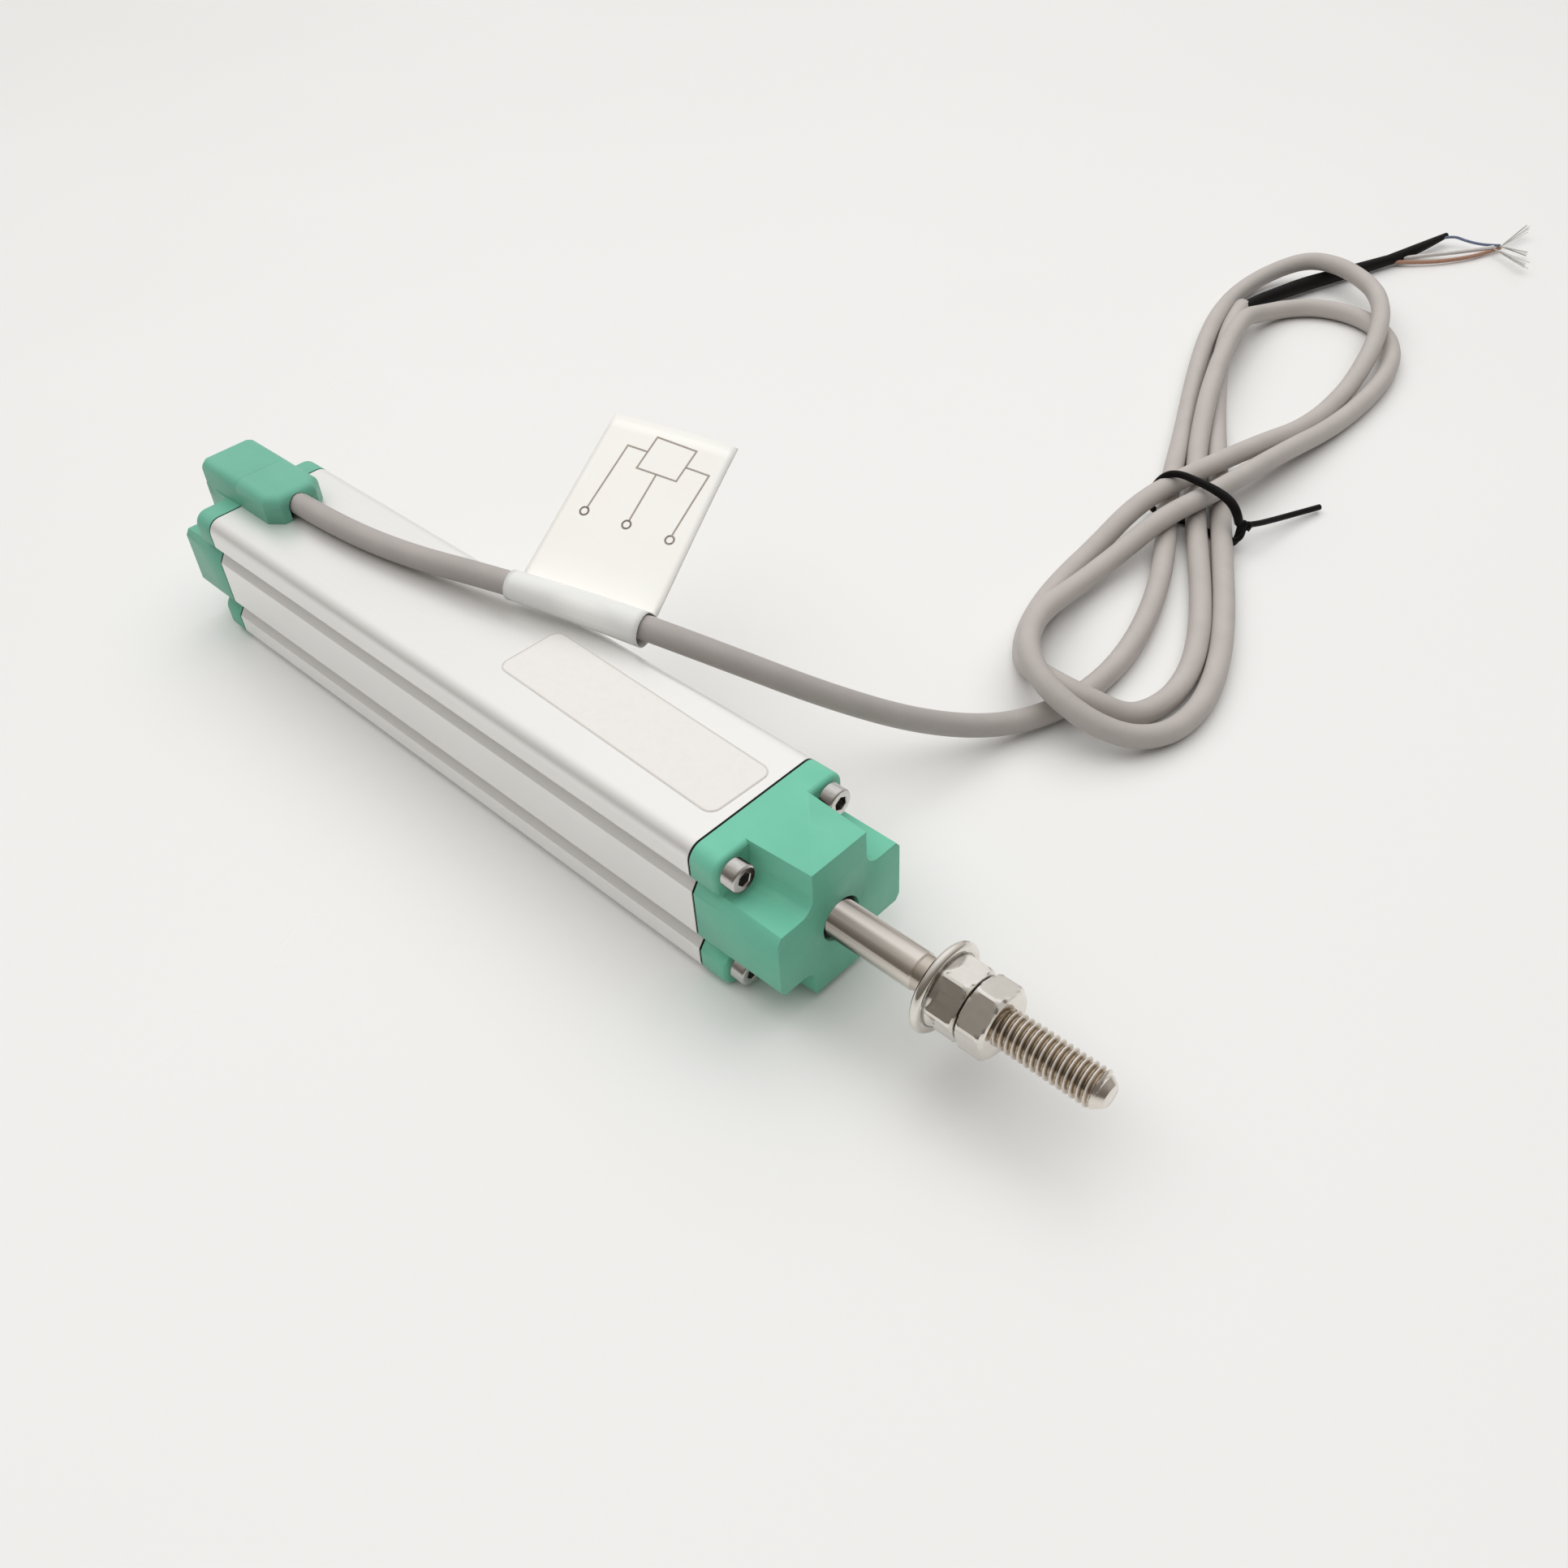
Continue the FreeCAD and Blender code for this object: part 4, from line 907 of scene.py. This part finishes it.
# Near-black plugs in the sockets' lower part: painted shade in the hexagon sockets
plug_rings = [(0.85, 0), (0.85, socket_hex), (1.5, socket_hex), (1.5, 0)]
plug_points, plug_faces = ringed(plug_rings, 48)
plug_mesh = mesh_from("socket_shade_plug", plug_points, plug_faces)
plug_shape = bpy.data.objects.new("socket_floor_shape", plug_mesh)
scene.collection.objects.link(plug_shape)
four_screws = screw_tree(screw_shape, screw_steel)
four_shade_plugs = screw_tree(plug_shape, painted_socket_shade)
screw_spread = 19.6
for name, station, facing in (("front_cap_screws", 68.3, 0.0), ("rear_cap_screws", -65.8, math.pi)):
    places = {
        "Spread": screw_spread * mm, "Station": station * mm,
        "Axis": axis_height * mm, "Facing": facing,
    }
    mesh = grown(name, four_screws, places)
    new_piece(name + "_steel", mesh, "housing", screw_steel, [name])
    # Painted shade in each screw's socket
    mesh = grown(name + "_sockets", four_shade_plugs, places)
    new_piece(name + "_sockets", mesh, "housing", painted_socket_shade)
bpy.data.objects.remove(screw_shape)
bpy.data.objects.remove(plug_shape)

# Rod wiper: the seal with its lip just behind the cap's face
wiper_rings = [
    (73.4, 3.06), (73.4, 4.45), (76.3, 4.45), (76.3, 3.66), (78.3, 3.66), (78.7, 3.5), (78.5, 3.06),
    (76.0, 3.02), (73.4, 3.06),
]
wiper_points, wiper_faces = ringed(wiper_rings)
wiper_mesh = mesh_from("rod_wiper", raised_by(wiper_points, axis_height), wiper_faces)
new_piece("rod_wiper", wiper_mesh, "housing", rubber, ["rod_seal"])

# Flag tag: film folded round the lead, its two halves stuck together as a flag
tag_middle = 79.0
tag_half = 12.75
tag_first = lead_at(tag_middle - tag_half)
tag_last = lead_at(tag_middle + tag_half)
tag_along = (tag_last - tag_first) / np.linalg.norm(tag_last - tag_first)
tag_centre = (tag_first + tag_last) / 2
tag_side = np.cross((0, 0, 1), tag_along)
tag_side /= np.linalg.norm(tag_side)
tag_tilt = math.radians(26.5)
# The flag leaves the loop below the lead's middle, so that the loop stands in front of it
flag_drop = 1.7
tag_out = tag_side * math.cos(tag_tilt) + np.cross(tag_along, tag_side) * math.sin(tag_tilt)
tag_normal = np.cross(tag_along, tag_out)
tag_end = 36.0
white_film = finish("white_film", film_look(tag_centre, tag_along))

# The flag bows across its width and one corner curls, both from its root outwards, in mm
flag_root = 4
bow_run = 31
bow_height = 0.2
bow_wave = 9
curl_from = 5
curl_run = 8
curl_depth = 0.8


def flag_bow(along, out):
    """How far the flag's film stands off its plane, in mm."""
    part = max(0.0, (out - flag_root) / bow_run)
    curl = max(0.0, along - curl_from) / curl_run * part * part
    return bow_height * part * math.cos(along / bow_wave) - curl_depth * curl * curl


def flag_place(along, out, height):
    """Point on the flag in its own directions, in mm."""
    spot = tag_centre + tag_along * along + tag_out * out
    return spot + tag_normal * (height - flag_drop + flag_bow(along, out))


# The film's line across the lead: along the flag, round the lead and back along the flag
film_outs = [tag_end - 2.75 * k for k in range(13)]
film_turns = [math.radians(12 + 19.5 * k) for k in range(9)]
film_gap = 0.1
film_thickness = 0.16
tag_stations = 21
tag_points = []
tag_faces = []
for row in range(tag_stations):
    along = -tag_half + 2 * tag_half * row / (tag_stations - 1)
    loop_radius = 2.7 + 0.2 * along / tag_half
    slack = loop_radius - 2.4
    middle = lead_at(tag_middle + along) - (tag_out + tag_normal) * slack * 0.6
    # The flag narrows a little towards its end
    lean = 0.005 - 0.03 * along / tag_half
    spots = [(along + max(0.0, out - flag_root) * lean, out) for out in film_outs]
    upper = [flag_place(*spot, film_gap) for spot in spots]
    lower = [flag_place(*spot, -film_gap) for spot in spots]
    loop = [
        middle + (tag_out * math.cos(turn) + tag_normal * math.sin(turn)) * loop_radius
        for turn in film_turns + [-turn for turn in reversed(film_turns)]
    ]
    tag_points += upper + loop + lower[::-1]
across = 2 * len(film_outs) + 2 * len(film_turns)
for row in range(tag_stations - 1):
    for k in range(across - 1):
        low = row * across + k
        tag_faces.append((low, low + 1, low + 1 + across, low + across))
tag_rough_mesh = mesh_from("tag_film", tag_points, tag_faces, 60)
tag_rough = bpy.data.objects.new("tag_film", tag_rough_mesh)
scene.collection.objects.link(tag_rough)
thick = tag_rough.modifiers.new("film", "SOLIDIFY")
thick.thickness = film_thickness * mm
thick.offset = 0
tag_mesh = evaluated_mesh(tag_rough)
bpy.data.objects.remove(tag_rough)
flag_tag = new_piece("tag_film", tag_mesh, "housing", white_film, ["flag_tag"])

# Wiring diagram: a box for the track, its two ends and the wiper, each led to a ring
stroke_width = 0.32
stroke_pieces = 6
ink_height = 0.2


def stroke(points, width, closed=False):
    """Flat printed line on the flag through points in its own directions, in mm."""
    line = np.array(points, float)
    ends = np.roll(line, -1, axis=0) if closed else line[1:]
    spots = []
    quads = []
    for first, last in zip(line, ends):
        step = (last - first) / np.linalg.norm(last - first)
        cross = np.array((-step[1], step[0])) * width / 2
        first = first - step * width / 2
        last = last + step * width / 2
        low = len(spots)
        for k in range(stroke_pieces + 1):
            middle = first + (last - first) * k / stroke_pieces
            spots.append(flag_place(*(middle + cross), ink_height))
            spots.append(flag_place(*(middle - cross), ink_height))
        for k in range(stroke_pieces):
            quads.append((low + 2 * k, low + 2 * k + 1, low + 2 * k + 3, low + 2 * k + 2))
    return spots, quads


ring_radius = 0.75
ring_sides = 16
diagram = [
    ([(-2.0, 33.6), (5.8, 33.0), (4.9, 26.7), (-2.9, 27.1)], True),
    ([(-2.6, 30.5), (-6.4, 30.7), (-7.8, 17.9)], False),
    ([(1.0, 26.9), (0.4, 17.5)], False),
    ([(5.4, 29.6), (9.8, 29.4), (8.7, 17.1)], False),
]
for along, out in ((-8.0, 16.9), (0.3, 16.7), (8.7, 16.3)):
    ring = []
    for k in range(ring_sides):
        angle = 2 * math.pi * k / ring_sides
        ring.append((along + ring_radius * math.cos(angle), out + ring_radius * math.sin(angle)))
    diagram.append((ring, True))
ink_points = []
ink_faces = []
for points, closed in diagram:
    spots, quads = stroke(points, stroke_width, closed)
    ink_faces += [tuple(len(ink_points) + k for k in quad) for quad in quads]
    ink_points += spots
ink_mesh = bpy.data.meshes.new("tag_diagram")
ink_mesh.from_pydata([tuple(c * mm for c in p) for p in ink_points], [], ink_faces)
tag_diagram = new_piece("tag_diagram", ink_mesh, "housing", brown_ink)

# Tie: plastic covered wire round the coil's waist, twisted on the +X side
tie_loop = wire_piece(
    "tie_loop",
    [
        (64.6, 132.8, 5.4), (64.4, 132.2, 7.4), (62.2, 132.8, 9.3), (58.5, 133.5, 9.9), (54, 134, 10),
        (49.6, 134.3, 10), (46.9, 133.4, 9.2), (45.2, 132.4, 6.2), (44.6, 132.4, 3.0), (45.4, 132.6, 1),
        (49, 132.4, 0.8), (55, 133.4, 0.8), (61, 132.2, 0.8), (64.8, 131.4, 1.1), (65.6, 131.8, 3.2),
        (64.9, 133.2, 5.6),
    ],
    0.7, tie_plastic, ["cable_tie"], [1.25, 1.3, 1.35, 1.25, 1.1] + [1.0] * 11,
)
twist_radius = 0.5
twist_steps = 14
twist_points = []
for k in range(twist_steps + 1):
    angle = k * math.pi / 2.5
    part = k / twist_steps
    twist_points.append((
        64.6 + 1.6 * part + twist_radius * math.cos(angle),
        132.6 + 2.2 * part,
        5.4 - 1.3 * part + twist_radius * math.sin(angle),
    ))
tie_twist = wire_piece("tie_twist", twist_points, 0.62, tie_plastic)
tie_tail = wire_piece(
    "tie_tail",
    [(65.6, 134.0, 4.7), (66.4, 136.6, 3.9), (67.4, 141.5, 2.8), (68.8, 147.5, 1.7), (71, 154.4, 0.9)],
    0.6, tie_plastic,
)
tie_curl = wire_piece(
    "tie_curl",
    [(65.4, 133.6, 4.8), (66.2, 132.2, 3.8), (65.9, 130.9, 2.8), (65.0, 130.7, 2.6)],
    0.55, tie_plastic,
)


def rounded_strip(length, width, radius, middle, turn, inset=0.0):
    """Outline of a rounded label on the housing's top, in mm."""
    points = []
    half_length = length / 2 - inset
    half_width = width / 2 - inset
    radius = radius - inset
    for corner in range(4):
        sx = 1 if corner in (0, 3) else -1
        sy = 1 if corner in (0, 1) else -1
        for k in range(7):
            angle = math.pi / 2 * (corner + k / 6)
            u = sx * (half_length - radius) + radius * math.cos(angle)
            v = sy * (half_width - radius) + radius * math.sin(angle)
            points.append((
                middle[0] + u * math.cos(turn) - v * math.sin(turn),
                middle[1] + u * math.sin(turn) + v * math.cos(turn),
            ))
    return points


# Bare paper label on the housing's top, with its thin printed border
label_sizes = (50.0, 12.4, 2.0, (36.2, 0.75), math.radians(-1.8))
housing_top = 26.0
label_top = 26.07
border_top = 26.09
outline = rounded_strip(*label_sizes)
count = len(outline)
rim_faces = [(k, (k + 1) % count, count + (k + 1) % count, count + k) for k in range(count)]
label_points = [(x, y, housing_top) for x, y in outline] + [(x, y, label_top) for x, y in outline]
label_faces = [tuple(range(count, 2 * count)), tuple(reversed(range(count)))] + rim_faces
label_mesh = mesh_from("bare_label", label_points, label_faces)
new_piece("bare_label", label_mesh, "housing", label_paper)
border_outer = rounded_strip(*label_sizes, 0.05)
border_inner = rounded_strip(*label_sizes, 0.3)
border_points = [(x * mm, y * mm, border_top * mm) for x, y in border_outer + border_inner]
border_mesh = bpy.data.meshes.new("label_border")
border_mesh.from_pydata(border_points, [], rim_faces)
new_piece("label_border", border_mesh, "housing", border_ink)

# Tinned strands out of each thin wire
strand_count = 8
strand_radius = 0.08
strand_fan = 0.07
strands = strand_tree()
for name, place, aim_at, seed in (
    ("brown_strands", (45.8, 293.4, 0.8), (47.5, 306.4, 2.0), 2),
    ("blue_strands", (45.6, 292.9, 1.6), (53.4, 293, 1.4), 5),
    ("white_strands", (44.9, 291.2, 1.4), (56.9, 284.2, 2.0), 8),
):
    start_point = Vector(place) * mm
    reach = Vector(aim_at) * mm - start_point
    mesh = grown(name, strands, {
        "Count": strand_count, "Length": reach.length, "Thickness": strand_radius * mm,
        "Fan": strand_fan, "Seed": seed,
    })
    turned = reach.to_track_quat("Z", "Y").to_matrix().to_4x4()
    mesh.transform(Matrix.Translation(start_point) @ turned)
    new_piece(name, mesh, "housing", tinned_copper)

# Dressed CAD nodes
for name, material in {
    "housing": anodised,
    "front_gasket": rubber,
    "rear_gasket": rubber,
    "rod_bush": bearing_plastic,
    "front_buffer": rubber,
    "rear_buffer": rubber,
    "track_board": glass_epoxy,
    "resistive_track": carbon_print,
    "collector_track": carbon_print,
    "terminals": spring_brass,
    "inner_leads": white_skin,
    "carriage": white_acetal,
    "rod_clip": screw_steel,
    "wiper_springs": spring_brass,
}.items():
    dress(name, material)

# End caps and outlet with eased edges. The metal doesn't mirror the front cap.
front_ease = 0.22
rear_ease = 0.3
block_ease = 0.8
front_cap = softened("front_cap", front_ease, green_nylon)
front_cap.visible_glossy = False
softened("rear_cap", rear_ease, rear_nylon, block_ease)
softened("cable_outlet", rear_ease, rear_nylon, block_ease)

# Table, lamp and world
table_half = 4
table_level = -0.0002
table_corners = [(-1, -1), (1, -1), (1, 1), (-1, 1)]
table_mesh = bpy.data.meshes.new("table")
table_mesh.from_pydata(
    [(x * table_half, y * table_half, table_level) for x, y in table_corners], [], [(0, 1, 2, 3)]
)
table_mesh.materials.append(table_top)
table = bpy.data.objects.new("table", table_mesh)
scene.collection.objects.link(table)


def lamp(name, place, target, width, depth, power):
    """Soft box lamp that looks at a point."""
    light = bpy.data.lights.new(name, "AREA")
    light.shape = "RECTANGLE"
    light.size = width
    light.size_y = depth
    light.energy = power
    thing = bpy.data.objects.new(name, light)
    scene.collection.objects.link(thing)
    thing.location = place
    thing.rotation_mode = "QUATERNION"
    thing.rotation_quaternion = (Vector(target) - Vector(place)).to_track_quat("-Z", "Y")
    return thing


soft_box = lamp("soft_box_above", (-0.15, 0.12, 1.15), (0.03, 0.08, 0), 2.2, 2.2, 18.3)
soft_box.visible_glossy = False

# World: an even room for matt surfaces, darker to the left and in front, and a soft window in the metal
world = bpy.data.worlds.new("studio")
scene.world = world
world.use_nodes = True
world.node_tree.nodes.clear()
sky = Link(world.node_tree)
direction = sky.node("ShaderNodeTexCoord", out="Generated")


def toward(way):
    """Cosine between the looked-at direction and a way."""
    ahead = Vector(way).normalized()
    return sky.node("ShaderNodeVectorMath", {"operation": "DOT_PRODUCT"}, {0: direction, 1: ahead}, "Value")


def grey_ramp(factor, stops):
    """Warm grey tone over a factor; the darker, the browner."""
    tones = [(place, (tone, tone ** 1.06, tone ** 1.13, 1)) for place, tone in stops]
    return sky.node("ShaderNodeValToRGB", {"stops": tones}, {"Fac": factor}, "Color")


def dark_part(way, low, high, most):
    """Share of a dark tone that grows softly between two cosines towards a way."""
    return sky.node("ShaderNodeMapRange", {"interpolation_type": "SMOOTHSTEP"}, {
        "Value": toward(way), "From Min": low, "From Max": high, "To Max": most,
    }, "Result")


upward = sky.node("ShaderNodeSeparateXYZ", None, {"Vector": direction}, "Z")
room = grey_ramp(upward, [(0.0, 0.5), (0.3, 0.74), (0.75, 1.0)])
left_part = dark_part((-0.5, -0.65, 0.42), 0.7, 1.0, 0.4)
front_part = dark_part((0.93, -0.15, 0.3), 0.25, 0.9, 0.8)
room = mixed(mixed(room, (0.2, 0.17, 0.15, 1), left_part), (0.2, 0.19, 0.18, 1), front_part)
window = toward((-0.36, 0.5, 0.78)) * 0.5 + 0.5
shine = grey_ramp(
    window, [(0.3, 0.15), (0.5, 0.19), (0.64, 0.3), (0.78, 0.52), (0.88, 0.66), (0.94, 0.84), (1.0, 1.0)]
)
glossy = sky.node("ShaderNodeLightPath", out="Is Glossy Ray")
seen = sky.node("ShaderNodeBackground", None, {
    "Color": mixed(room, shine, glossy), "Strength": 0.58 + glossy * 0.42,
}, "Background")
sky.node("ShaderNodeOutputWorld", None, {"Surface": seen})

scene.view_settings.view_transform = "Standard"
